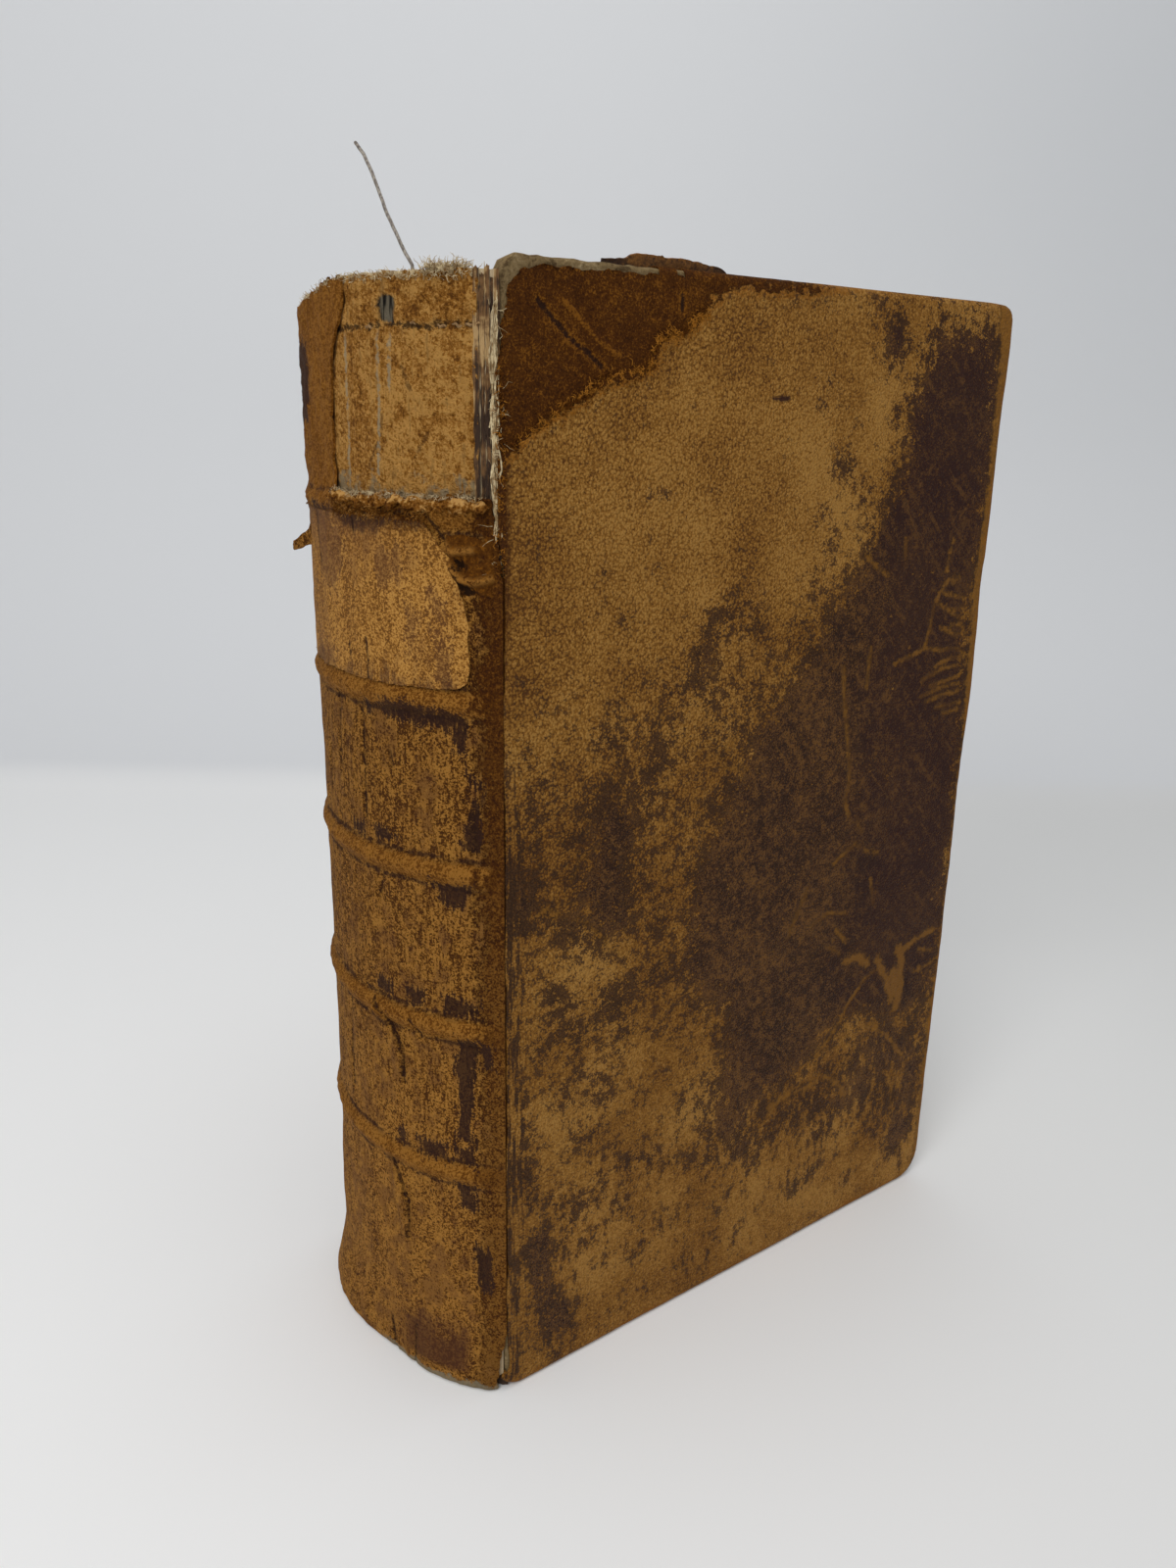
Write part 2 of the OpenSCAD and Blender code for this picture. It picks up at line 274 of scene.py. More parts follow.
# Shader sums: a socket with arithmetic
class Wire:
    def __init__(self, tree, socket=None):
        self.tree = tree
        self.socket = socket

    def node(self, kind, settings=None, sockets=None, out=0):
        made = self.tree.nodes.new(kind)
        for name, value in (settings or {}).items():
            setattr(made, name, value)
        for name, value in (sockets or {}).items():
            target = made.inputs[name]
            if isinstance(value, Wire):
                self.tree.links.new(value.socket, target)
            elif target.type == "RGBA" and len(value) == 3:
                target.default_value = (*value, 1)
            else:
                target.default_value = value
        return Wire(self.tree, made.outputs[out] if made.outputs else None)

    def sum(self, operation, *values):
        return self.node("ShaderNodeMath", {"operation": operation}, dict(enumerate(values)))

    def __add__(self, other):
        return self.sum("ADD", self, other)

    def __radd__(self, other):
        return self.sum("ADD", other, self)

    def __sub__(self, other):
        return self.sum("SUBTRACT", self, other)

    def __rsub__(self, other):
        return self.sum("SUBTRACT", other, self)

    def __mul__(self, other):
        return self.sum("MULTIPLY", self, other)

    def __rmul__(self, other):
        return self.sum("MULTIPLY", other, self)


def above(value, low, high):  # a mask: 0 below low, 1 above high
    limits = {"Value": value, "From Min": low, "From Max": high}
    return value.node("ShaderNodeMapRange", {"interpolation_type": "SMOOTHSTEP"}, limits)


def below(value, low, high):
    return 1 - above(value, low, high)


def least(first, second):
    return first.sum("MINIMUM", first, second)


def most(first, second):
    return first.sum("MAXIMUM", first, second)


def swing(value, amount):  # noise moved to lie about 0, and made that strong
    return (value - 0.5) * amount


def tint(mask, under, over):
    return mask.node("ShaderNodeMix", {"data_type": "RGBA"}, {0: mask, 6: under, 7: over}, 2)


def tones(light, deep, middle, pale):  # three colours by a lightness about 0.5
    colour = tint(above(light, 0.1, 0.5), deep, middle)
    return tint(above(light, 0.5, 0.95), colour, pale)


def grain(at, size, detail=4, rough=0.6, stretch=(1, 1, 1), shift=0.0, turn=(0, 0, 0)):
    longer = tuple(1 / share for share in stretch)
    mapping = {"Vector": at, "Location": (shift, shift, shift), "Rotation": turn, "Scale": longer}
    moved = at.node("ShaderNodeMapping", {"vector_type": "TEXTURE"}, mapping)
    sockets = {"Vector": moved, "Scale": 1 / (size * mm), "Detail": detail, "Roughness": rough}
    return at.node("ShaderNodeTexNoise", None, sockets)


def pebbles(at, size):
    return at.node("ShaderNodeTexVoronoi", None, {"Vector": at, "Scale": 1 / (size * mm)})


def field(start, name):  # a painted value of the mesh
    return start.node("ShaderNodeAttribute", {"attribute_name": name}, None, "Fac")


def axes(at):  # x, y and z in millimetres
    return [at.node("ShaderNodeSeparateXYZ", None, {0: at}, axis) * 1000 for axis in range(3)]


def bump(height, distance, strength=1.0):
    sockets = {"Strength": strength, "Distance": distance * mm, "Height": height}
    return height.node("ShaderNodeBump", None, sockets)


def material(name, shade, **fixed):  # shade gives the sockets that vary, fixed the ones that don't
    made = bpy.data.materials.new(name)
    made.use_nodes = True
    made.node_tree.nodes.clear()
    start = Wire(made.node_tree)
    at = start.node("ShaderNodeTexCoord", None, None, "Object")
    sockets = {name.replace("_", " "): value for name, value in fixed.items()}
    sockets.update(shade(start, at))
    shader = start.node("ShaderNodeBsdfPrincipled", None, sockets)
    start.node("ShaderNodeOutputMaterial", None, {"Surface": shader})
    return made


# Camera
cameraView = {
    "at": (-170.42, -209.73, 204.71), "turn": 36.431, "down": 17.485, "roll": -1.01,
    "lens": 26.977, "sensor": 36, "nearest": 0.005,
}


def makeCamera(look):
    turn, down, roll = (math.radians(look[key]) for key in ("turn", "down", "roll"))
    forward = np.array([math.cos(down) * math.sin(turn), math.cos(down) * math.cos(turn), -math.sin(down)])
    right = np.array([math.cos(turn), -math.sin(turn), 0])
    low = np.cross(forward, right)
    rolledRight = math.cos(roll) * right + math.sin(roll) * low
    rolledLow = math.cos(roll) * low - math.sin(roll) * right
    clearSelection()
    bpy.ops.object.camera_add()
    camera = bpy.context.object
    camera.data.lens = look["lens"]
    camera.data.sensor_width = look["sensor"]
    camera.data.sensor_fit = "AUTO"
    camera.data.clip_start = look["nearest"]
    turned = Matrix(np.column_stack([rolledRight, -rolledLow, -forward]).tolist()).to_4x4()
    camera.matrix_world = Matrix.Translation([value * mm for value in look["at"]]) @ turned
    bpy.context.scene.camera = camera


makeCamera(cameraView)

# Loose sewing thread, standing up from the head
looseThread = {
    "angle": -26.6, "inset": 1.45, "diameter": 0.6,
    "dark": (0.11, 0.09, 0.075), "pale": (0.3, 0.265, 0.22),
    "route": [
        (0, 0, 0), (0, 0, 0.7), (-0.2, 0.6, 1.6), (-0.4, 1.5, 2.6), (-0.5, 2.4, 3.7), (-0.5, 3.4, 4.8),
        (-0.4, 4.5, 5.9), (-0.4, 5.6, 7), (-0.3, 6.7, 8.1), (-0.3, 7.8, 9.2), (-0.2, 8.9, 10.4),
        (0, 10, 11.6), (0.1, 11.1, 12.8), (0.3, 12.3, 14), (0.4, 13.4, 15.2), (0.6, 14.6, 16.4),
        (0.7, 15.8, 17.6), (0.8, 17.1, 18.8), (0.9, 18.3, 20), (0.8, 19.7, 21.1), (0.7, 21, 22.2),
    ],
}


def shadeThread(start, at):
    twist = grain(at, 0.5, 2, 0.5, (1, 1, 0.4))
    colour = tint(above(twist, 0.35, 0.65), looseThread["dark"], looseThread["pale"])
    return {"Base Color": colour, "Normal": bump(twist, 0.15)}


threadFinish = material("linenThread", shadeThread, Roughness=0.85)


def tube(name, lines, radius, sides=1, taper=0.35):  # a curve with one spline for each line
    curve = bpy.data.curves.new(name, "CURVE")
    curve.dimensions = "3D"
    curve.bevel_depth = radius * mm
    curve.bevel_resolution = sides
    curve.use_fill_caps = True
    for line in lines:
        spline = curve.splines.new("POLY")
        spline.points.add(len(line) - 1)
        for share, point, spot in zip(np.linspace(0, 1, len(line)), spline.points, line):
            point.co = (*(np.array(spot) * mm), 1)
            point.radius = 1 - (1 - taper) * share
    piece = bpy.data.objects.new(name, curve)
    bpy.context.scene.collection.objects.link(piece)
    return piece


def meshTube(name, lines, radius):  # the same as a mesh, with few sides
    piece = tube(name, lines, radius, sides=0)
    workOn(piece)
    bpy.ops.object.convert(target="MESH")
    return bpy.context.object


def makeThread(look):
    root = onSpine(look["angle"], [headZ], spineR - look["inset"])[0]
    line = [root + np.array(step) for step in look["route"]]
    piece = tube("looseThread", [line], look["diameter"] / 2, sides=2, taper=1)
    wear(piece, threadFinish)
    place(piece, "book_block", "thread", "loose_thread")
    length = sum(np.linalg.norm(b - a) for a, b in zip(line, line[1:]))
    length * mm


makeThread(looseThread)
print("camera and thread made")


# Calf on the two covers
calf = {
    "tan": (0.23, 0.099, 0.0145), "paleTan": (0.37, 0.187, 0.042), "brownTan": (0.095, 0.035, 0.006),
    "chocolate": (0.066, 0.0272, 0.0115), "deep": (0.02, 0.008, 0.005), "orange": (0.25, 0.092, 0.008),
    "rust": (0.082, 0.025, 0.002), "darkRust": (0.04, 0.011, 0.001), "scuffed": (0.15, 0.066, 0.015),
    "plum": (0.026, 0.0084, 0.008), "speck": (0.048, 0.021, 0.006),
}


def shadeCover(start, at):
    x, y, z = axes(at)
    u = x - jointX
    broad = grain(at, 26, 3, 0.55)
    blotch = grain(at, 8, 9, 0.7, shift=0.3)
    fine = grain(at, 1.4, 6, 0.75, shift=0.7)
    grit = grain(at, 0.4, 3, 0.75, shift=0.1)
    pores = pebbles(at, 0.6)
    tallStreak = grain(at, 0.9, 5, 0.7, (1, 1, 0.09), 0.2)
    scratch = field(start, "scratch")
    peel = field(start, "peel")
    lace = grain(at, 2.2, 8, 0.78, shift=0.5)
    pits = above(pores, 0.42, 0.66)
    share = field(start, "stain")
    # how far the stain takes, broken up by noise
    level = share * 0.05 + swing(blotch, 0.55) + swing(lace, 1.05) + swing(fine, 0.4)
    level = level + swing(grit, 0.7) + (pits - 0.25) * 0.05
    fleck = grain(at, 3, 6, 0.7, (1, 1, 0.35), 0.4)
    level = level + below(z, 35, 80) * swing(fleck, 0.9)
    byJoint = below(u, 1.2, 7) * below(z, 110, 175)
    level = level + byJoint * (tallStreak - 0.43) * 1.7
    softer = above(u, 60, 100) * below(z, 60, 95)
    stain = above(level, -0.004, 0.01) * (1 - softer) + above(level, -0.045, 0.045) * softer
    deepIn = above(share, 0.4, 2)
    halo = above(level, -0.08, 0.0)
    streak = grain(at, 1.6, 5, 0.68, (1, 1, 0.07), 0.9, (0, -0.75, 0))
    grained = above(z, 60, 170) * below(u, 50, 120) * 0.6 + 0.4
    # tan calf, grained above, and painted darker towards the tail as shade
    light = 0.765 + swing(broad, 1.6) + swing(fine, 1.4) + swing(grit, 2.2) - pits * grained * 0.38
    light = light - halo * 0.1 - below(z, 20, 100) * 0.13
    colour = tones(light, calf["brownTan"], calf["tan"], calf["paleTan"])
    rubs = grain(at, 7, 6, 0.66, (1, 1, 0.45), 0.6, (0, -0.75, 0))
    # stained calf, with scuffs and hairline scratches
    darkLight = 0.22 + deepIn * 0.12 + swing(lace, 3.4) + swing(rubs, 0.9)
    darkLight = darkLight + (broad - 0.5) + swing(grit, 3.6)
    darkTone = tones(darkLight, calf["deep"], calf["chocolate"], calf["scuffed"])
    foreZone = above(u + swing(blotch, 50), 88, 112) * above(z, 50, 76)
    darkTone = tint(foreZone * 0.9, darkTone, calf["plum"])
    darkTone = tint((1 - deepIn) * 0.5, darkTone, calf["speck"])
    scuff = rubs * 0.5 + streak * 0.5 + swing(lace, 1.2) + swing(grit, 1.2)
    darkTone = tint(above(scuff, 0.545, 0.6) * deepIn * 0.4, darkTone, calf["scuffed"])
    across = grain(at, 1.3, 5, 0.7, (1, 1, 0.06), 0.3, (0, 0.7, 0))
    acrossLines = above(across + swing(lace, 0.7), 0.585, 0.625) * below(blotch, 0.45, 0.53)
    streakLines = above(streak + swing(lace, 0.6), 0.595, 0.635) * above(blotch, 0.48, 0.56)
    for fineLines in (acrossLines, streakLines):
        darkTone = tint(fineLines * deepIn * 0.36, darkTone, calf["scuffed"])
    colour = tint(stain * 0.96, colour, darkTone)
    # scratches and rubbed places, where the tan shows again
    rubbed = below(field(start, "rubbed") + swing(lace, 6) + swing(fine, 3), -0.5, 0.5)
    broken = above(blotch, 0.44, 0.52) * 0.6 + 0.4
    line = below(scratch + swing(lace, 4) + swing(grit, 2), 0.25, 0.75) * broken
    line = most(line, rubbed)
    colour = tint(line * 0.78, colour, calf["tan"])
    edge = least(least(coverW - u, z), coverH + 1.5 - z)
    worn = below(edge + swing(blotch, 8) + swing(fine, 5), 0.4, 2.2)
    colour = tint(worn * 0.7, colour, calf["orange"])
    # torn patch: bare suede with a ragged border
    torn = peel + swing(lace, 9) + swing(blotch, 5)
    bare = below(torn, -0.2, 0.1)
    crease = field(start, "crease") + swing(fine, 1.4)
    ridge = below(field(start, "ridge") + swing(fine, 2), 0.1, 0.7)
    suedeLight = 0.5 + swing(blotch, 0.8) + swing(grit, 2) + swing(fine, 1.2)
    # painted highlight beside each crease and on the raised ridge
    suedeLight = suedeLight + below(crease, 0.7, 1.6) * 0.2 + ridge * 0.4
    suede = tones(suedeLight, calf["darkRust"], calf["rust"], calf["orange"])
    # painted shade in the creases
    suede = tint(below(crease, 0.25, 0.6) * 0.9, suede, calf["deep"])
    # painted shadow just inside the torn border
    suede = tint(above(torn, -1.4, -0.2) * 0.55, suede, calf["darkRust"])
    rimByJoint = below(u + swing(fine, 4), 0.6, 2.4) * above(z, 150, 185)
    colour = tint(most(bare, rimByJoint), colour, suede)
    # orange torn fibres on the raised rim, lightened further as a painted highlight
    rim = below(torn, 0.5, 1.5) * above(torn, -0.1, 0.2)
    colour = tint(rim * above(fine + (grit - 0.5), 0.38, 0.52) * 0.8, colour, calf["orange"])
    # small chip, then the relief
    chip = below(field(start, "chip") + swing(fine, 2), 0.3, 0.9)
    colour = tint(chip * 0.9, colour, calf["plum"])
    height = (1 - bare) * (fine * 0.8 - pores * 0.7) + bare * (fine * 1.5 + grit) + grit * 0.4 - line * 0.5
    roughness = 0.68 - stain * 0.1 + bare * 0.25
    return {"Base Color": colour, "Roughness": roughness, "Normal": bump(height, 0.5, 0.9)}


coverFinish = material("wornCalf", shadeCover, Specular_IOR_Level=0.1)

coverShape = {
    "cell": 1.2, "backCell": 1.4, "edgeRound": 1.6, "innerRound": 1.2, "thickness": 0.3,
    "tailCorner": 7.8, "headCorner": 4.3, "jointCorner": 4.5, "foldCorner": 9, "foldWidth": 6,
    "past": 0.3, "over": 1,  # how far the new sheet starts past the joint, and reaches over head and tail
    "tornPart": (0.38, 0.83), "scratchedPart": (0.64, 0.47, 0.31),  # shares of the sheet that are cut finer
    "dents": [  # z, reach, depth
        (166, 6, -0.35), (116, 7, -0.45), (203, 9, -0.4), (62, 12, 0.3), (140, 8, 0.3),
    ],
    "dentReach": 26, "ripple": 0.25,
}
stainFade = {
    "heights": [0, 60, 100, 150, 185, 230],
    "fringe": [26, 30, 38, 30, 13, 9],  # how far the stain thins out at those heights
    "edge": 0.7, "inwards": 2.2, "deepest": 4.4, "outerEdge": 0.85, "drop": 4.2, "curve": 0.7, "clean": -3.3,
}
frontWear = {
    "darkZone": [
        (112, 225), (104, 208), (101, 190), (92, 176), (85, 167), (75, 152), (64, 143), (58, 130),
        (48, 110), (44, 92), (50, 80), (60, 74), (58, 55), (56, 43), (64, 38), (76, 46), (88, 51),
        (98, 58), (106, 60), (118, 54), (128, 54), (137, 57), (138, 104), (137, 135), (134, 150),
        (135, 166), (137, 188), (137, 214), (130, 225),
    ],
    "speckle": [  # u, z, reach both ways, strength
        (22, 122, 32, 28, 2.9), (18, 84, 22, 30, 2.2), (56, 146, 20, 22, 1.9), (70, 112, 18, 20, 1.3),
        (70, 34, 70, 20, 1.9), (112, 46, 26, 14, 2.2), (10, 40, 16, 20, 1.4), (128, 28, 12, 18, 1.8),
        (54, 167, 6, 5, 3.4), (48, 156, 5, 5, 3.6), (48, 163, 4, 4, 2.4), (59, 176, 4, 4, 3.0),
        (64, 162, 5, 6, 2.4), (38, 147, 5, 6, 2.0), (24, 146, 6, 6, 2.2), (13, 155, 5, 4, 2.4),
        (5, 158, 3, 2, 3.2), (32, 157, 3, 3, 2.6), (28, 168, 2.4, 1.8, 3.6), (22, 177.6, 2.2, 1.6, 5.5),
        (36, 190, 4, 2.4, 3.0), (34, 183, 2, 1.6, 3.2), (8, 134, 5, 5, 2.0), (25, 134, 7, 6, 1.8),
        (36, 137, 5, 5, 1.6), (27, 125, 7, 5, 2.6), (24, 114, 6, 7, 2.8), (4, 115, 4, 8, 2.6),
        (16, 108, 3, 4, 1.6), (27, 105, 6, 5, 2.2), (57, 137, 4, 4, 1.8), (30, 87, 6, 6, 2.0),
        (20, 85, 6, 4, 1.8), (12, 93, 3, 3, 2.0), (10, 81, 4, 4, 1.8), (28, 77, 4, 3, 2.2),
        (25, 66, 4, 5, 2.4), (22, 56, 5, 5, 2.2), (35, 62, 5, 4, 2.0), (5, 58, 3, 10, 2.4),
        (35, 45, 8, 5, 2.4), (48, 48, 4, 3, 2.2), (20, 38, 5, 5, 2.0), (8, 34, 4, 5, 2.6),
        (25, 23, 4, 3, 2.2), (37, 21, 3, 3, 3.2), (14, 12, 5, 8, 6.4), (9, 23, 3, 7, 5.6),
        (68, 36, 8, 4, 2.8), (88, 15, 4, 5, 3.4), (97, 19, 7, 2.5, 2.6), (96, 28, 5, 4, 2.2),
        (106, 36, 8, 5, 2.6), (116, 26, 6, 6, 2.4), (128, 17, 6, 7, 5.4), (130, 34, 5, 8, 3.4),
        (90, 38, 12, 6, 2.0), (118, 48, 14, 10, 2.4), (86, 194, 6, 5, 3.8), (80, 186, 4, 4, 2.8),
        (94, 187, 5, 6, 2.8), (98, 219, 4.5, 6, 5.2), (77, 206, 2, 2, 3.0), (78, 212, 6, 2, 2.2),
        (84, 178, 8, 6, 2.0), (88, 201, 8, 4, 1.6), (50, 10, 26, 7, 1.0), (72, 228, 20, 4, 2.6),
        (95, 223, 8, 6, 1.8), (8, 34, 4, 6, 1.6), (16, 68, 5, 6, 1.6), (38, 100, 4, 10, 1.4),
    ],
    "scratches": [
        [(90, 151.5), (90.5, 146), (92, 140), (93.5, 133), (95, 126), (95, 122), (94, 120), (96, 115)],
        [(98.5, 155), (98.2, 146)], [(119.6, 163), (119, 158), (117.5, 153)],
        [(117.5, 153), (112, 151.5), (107, 150.3)], [(117.5, 153), (124, 152), (129, 152), (134, 150)],
        [(107, 179), (107.5, 175)], [(94, 176), (102, 171)], [(132, 143), (126, 142.8), (118, 141.4)],
        [(132, 141), (126, 140.8), (120, 139.8)], [(133, 138), (124, 138)], [(133, 136.2), (127, 136)],
        [(131, 147.6), (125, 147.4), (118, 145.4)], [(132, 145), (121, 143.4)],
        [(132, 149.6), (128, 149.8), (122, 148)], [(133, 155), (128, 155.6), (123, 157.6)],
        [(131, 159), (124, 162)], [(131, 161.8), (126, 161.6), (121, 163.4)], [(131, 164), (122, 166)],
        [(132, 157), (127, 158)], [(99, 107.5), (95, 105.6), (92, 104)], [(99, 113.5), (101, 110.5)],
        [(95, 86), (99, 82)], [(93, 82), (97, 79.4)], [(86, 89.5), (91.5, 91.4), (97.5, 90)],
        [(84, 100), (78, 88)], [(106, 97), (108, 90)],
        [(111, 70.6), (107.6, 69.8), (104.6, 66.6), (101.4, 63.4), (99.6, 60), (95, 55), (92, 53)],
        [(122, 38), (123.4, 34), (123, 28)], [(30, 95), (20, 107), (9, 112)],
        [(16, 117), (18, 121), (22, 123)], [(55, 134), (62, 132.4)], [(54, 136), (58, 140)],
    ],
    "rubbed": [  # strokes where the dark surface is rubbed away, with their half widths
        (0.5, [(124, 178), (123, 171)]), (0.7, [(128, 168.6), (124, 168.5), (121.4, 166), (120, 164)]),
        (0.5, [(99, 107.4), (103, 105), (108, 103.4)]),
        (1.4, [(119.6, 74.6), (121.4, 70), (121.6, 61.4)]), (1.6, [(121.6, 61), (121, 57.8)]),
        (1.2, [(111.4, 74), (115.6, 67.6), (119, 60.4)]), (1.4, [(118.6, 69), (119.6, 63)]),
        (1.2, [(99.6, 76.6), (104.4, 76.6), (107.6, 73.6)]),
        (0.7, [(110.4, 56.2), (116, 51.5), (121.6, 46.7), (125.4, 42)]),
        (1.8, [(118.6, 67.6), (120.4, 62)]), (0.9, [(120.8, 73.4), (126, 75.4), (133, 76.4)]),
        (0.5, [(128, 72), (134, 70.4)]), (0.6, [(127, 66), (134, 66.6)]),
        (0.9, [(96, 45), (100, 42), (104, 37.4)]),
        (0.9, [(76, 43.4), (81, 44.7), (85, 45.3), (91, 44.7)]),
    ],
    "peel": [
        (-3, 195.5), (2, 198.4), (8, 202.4), (13, 205), (18, 207.6), (22, 210.4), (28, 211.4),
        (32.6, 212.6), (33.6, 217), (38, 218.4), (42, 220.4), (45, 223), (47, 226.2), (54, 227.4),
        (64, 227.8), (76, 228.6), (84, 230), (84, 236), (-3, 236),
    ],
    "creases": [
        [(7.4, 222.7), (10, 220.4), (14, 217), (17.6, 215), (20.9, 212.6)], [(38.8, 225.6), (39, 223)],
    ],
    "foreRub": [  # z, how wide the fore-edge is rubbed there
        (0, 2.4), (60, 2.4), (80, 1.8), (130, 1.8), (140, 3.4), (172, 4), (190, 3.2), (214, 4.2), (230, 6),
    ],
    "ridge": [(12.6, 223), (17, 219.4), (20, 216.8), (25, 214.6)],
    "loss": [
        (-5, 207), (-1, 209), (0, 214), (0.7, 220), (1.8, 224.2), (4.2, 227), (10, 228.1),
        (18, 228), (28, 228.3), (38, 228.6), (50, 228.8), (53, 234), (-5, 234),
    ],
    "chip": [(63.6, 208.5), (67.4, 208.2)],
}
backWear = {
    "darkZone": [(70, 232), (60, 190), (84, 150), (112, 120), (140, 108), (140, 232)],
    "speckle": [(14, 16, 9, 14, 4.1), (64, 74, 20, 22, 2.7), (30, 150, 20, 26, 2.4), (100, 40, 30, 20, 2.6)],
    "scratches": [[(96, 190), (104, 160)], [(112, 150), (128, 176)], [(40, 120), (52, 132)]],
    "farOff": 50.0,  # farther than any tear or rubbed place reaches
}


def stainShare(flat, look):  # how much of the calf is stained, in spreads of the blotch noise
    fade = stainFade
    fringe = np.interp(flat[:, 1], fade["heights"], fade["fringe"])
    edge = outlineDistance(flat, look["darkZone"])
    inside = np.minimum(fade["edge"] - edge / fade["inwards"], fade["deepest"])
    outside = fade["outerEdge"] - fade["drop"] * np.clip(edge / fringe, 0, 1) ** fade["curve"]
    zone = np.where(edge < 0, inside, outside)
    speckle = np.full(len(flat), fade["clean"])
    for u, z, across, up, strength in look["speckle"]:
        speckle += strength * np.exp(-((flat[:, 0] - u) / across) ** 2 - ((flat[:, 1] - z) / up) ** 2)
    return np.maximum(zone, speckle) + 0.2 * np.minimum(zone, speckle).clip(-2, 2)


# Distance past a cover's outline, open at the joint
def coverEdge(points, inset, tailCorner, headCorner):
    z = points[:, 1]
    corner = np.where(z < coverH / 2, tailCorner, headCorner) - inset
    across = points[:, 0] - (coverW - inset - corner)
    up = np.maximum(inset + corner - z, z - (coverH - inset - corner))
    outside = np.hypot(np.maximum(across, 0), np.maximum(up, 0))
    edge = outside + np.minimum(np.maximum(across, up), 0) - corner
    soft = coverShape["jointCorner"]
    fromJoint, fromTail = np.maximum(soft - points[:, 0], 0), np.maximum(soft + inset - z, 0)
    rounded = np.where((fromJoint > 0) & (fromTail > 0), np.hypot(fromJoint, fromTail) - soft, -soft)
    return np.maximum(edge, rounded)


def foreDents(flat):  # the knocks along the fore-edge
    shape = coverShape
    shift = sum(depth * bell(flat[:, 1] - z, reach) for z, reach, depth in shape["dents"])
    shift = shift + shape["ripple"] * rowCloud(flat[:, 1], 11, 3, 5.2)
    return shift * ease(flat[:, 0], coverW - shape["dentReach"], coverW)


# Draws a sheet's edge out along a profile, round its board
def wrapEdges(sheet, profile, side, outline, near):
    workOn(sheet)
    bpy.ops.object.mode_set(mode="EDIT")
    bpy.ops.mesh.select_mode(type="EDGE")
    bpy.ops.mesh.select_all(action="DESELECT")
    bpy.ops.mesh.select_non_manifold(extend=False, use_wire=False, use_boundary=True, use_multi_face=False,
                                     use_non_contiguous=False, use_verts=False)
    bpy.ops.object.mode_set(mode="OBJECT")
    ends = np.zeros(len(sheet.data.edges) * 2, int)
    sheet.data.edges.foreach_get("vertices", ends)
    rim = np.zeros(len(sheet.data.edges), bool)
    sheet.data.edges.foreach_get("select", rim)
    points = readPoints(sheet)
    wanted = rim & near(offCover(points))[ends.reshape(-1, 2)].all(1)
    sheet.data.vertices.foreach_set("select", np.zeros(len(points), bool))
    sheet.data.edges.foreach_set("select", wanted)
    for (out, depth), (nextOut, nextDepth) in zip(profile, profile[1:]):
        bpy.ops.object.mode_set(mode="EDIT")
        bpy.ops.mesh.extrude_region_move()
        bpy.ops.object.mode_set(mode="OBJECT")
        picked = np.zeros(len(sheet.data.vertices), bool)
        sheet.data.vertices.foreach_get("select", picked)
        points = readPoints(sheet)
        slope = slopeOf(outline, offCover(points[picked]))[1]
        slope /= np.maximum(np.linalg.norm(slope, axis=1), 1e-6)[:, None]
        points[picked, 0] += slope[:, 0] * (nextOut - out)
        points[picked, 2] += slope[:, 1] * (nextOut - out)
        points[picked, 1] -= side * (nextDepth - depth)
        writePoints(sheet, points)


def roundedProfile(outer, inner, thickness, fold, steps=4):  # over one edge, down the side and back under
    turns = [math.pi / 2 * step / steps for step in range(steps + 1)]
    over = [(outer * math.sin(turn), outer * (1 - math.cos(turn))) for turn in turns]
    under = [(outer - inner * (1 - math.cos(turn)), thickness - inner * (1 - math.sin(turn)))
             for turn in turns]
    return over + under + [(outer - inner - fold * share, thickness) for share in (0.3, 0.65, 1)]


def coverSheet(name, side, cell, relief, loss):
    shape = coverShape
    past, over = shape["past"], shape["over"]
    sheet, share = gridSheet(name, coverW / cell, (coverH + 2 * over) / cell)
    if side < 0:  # finer where the surface has torn away, and where it is scratched
        (tornU, tornZ), (scratchU, scratchZ, scratchReach) = shape["tornPart"], shape["scratchedPart"]
        torn = (share[:, 0] < tornU) & (share[:, 1] > tornZ)
        scratched = (share[:, 0] > scratchU) & (np.abs(share[:, 1] - scratchZ) < scratchReach)
        share = cutFiner(sheet, torn | scratched)
    flat = share * [coverW + 2 * past, coverH + 2 * over] + [past, -over]
    ripple = rowCloud(flat[:, 1], 6, 3, 1.4)
    rooted = 1 - ease(flat[:, 0], past, 4)  # the edge along the joint wanders, and is cut back at the tail
    flat[:, 0] += (0.15 + 0.35 * ripple + 0.8 * (1 - ease(flat[:, 1], 2, 15))) * rooted
    if side < 0:  # the torn edge at the head reaches over the split joint
        flat[:, 0] -= (1.1 + 0.3 * ripple) * rooted * ease(flat[:, 1], 177, 186)
    inset = shape["edgeRound"]

    def tear(points):
        return np.maximum(coverEdge(points, inset, shape["tailCorner"], shape["headCorner"]), loss(points))

    flat, outside = snapToEdge(flat, tear, cell)
    writePoints(sheet, onCover(flat, relief(flat), side))
    dropPoints(sheet, outside)
    return sheet, flat[~outside]


def wrapCover(sheet, side, loss):
    shape = coverShape

    def outline(points):
        return coverEdge(points, 0, shape["foldCorner"], shape["foldCorner"])

    def near(points):
        edge = coverEdge(points, shape["edgeRound"], shape["tailCorner"], shape["headCorner"])
        return (edge > -0.25) & (loss(points) < -0.1)

    profile = roundedProfile(shape["edgeRound"], shape["innerRound"], coverT, shape["foldWidth"])
    wrapEdges(sheet, profile, side, outline, near)
    pickPoints(sheet, np.ones(len(sheet.data.vertices), bool))
    bpy.ops.mesh.normals_make_consistent(inside=False)
    bpy.ops.object.mode_set(mode="OBJECT")


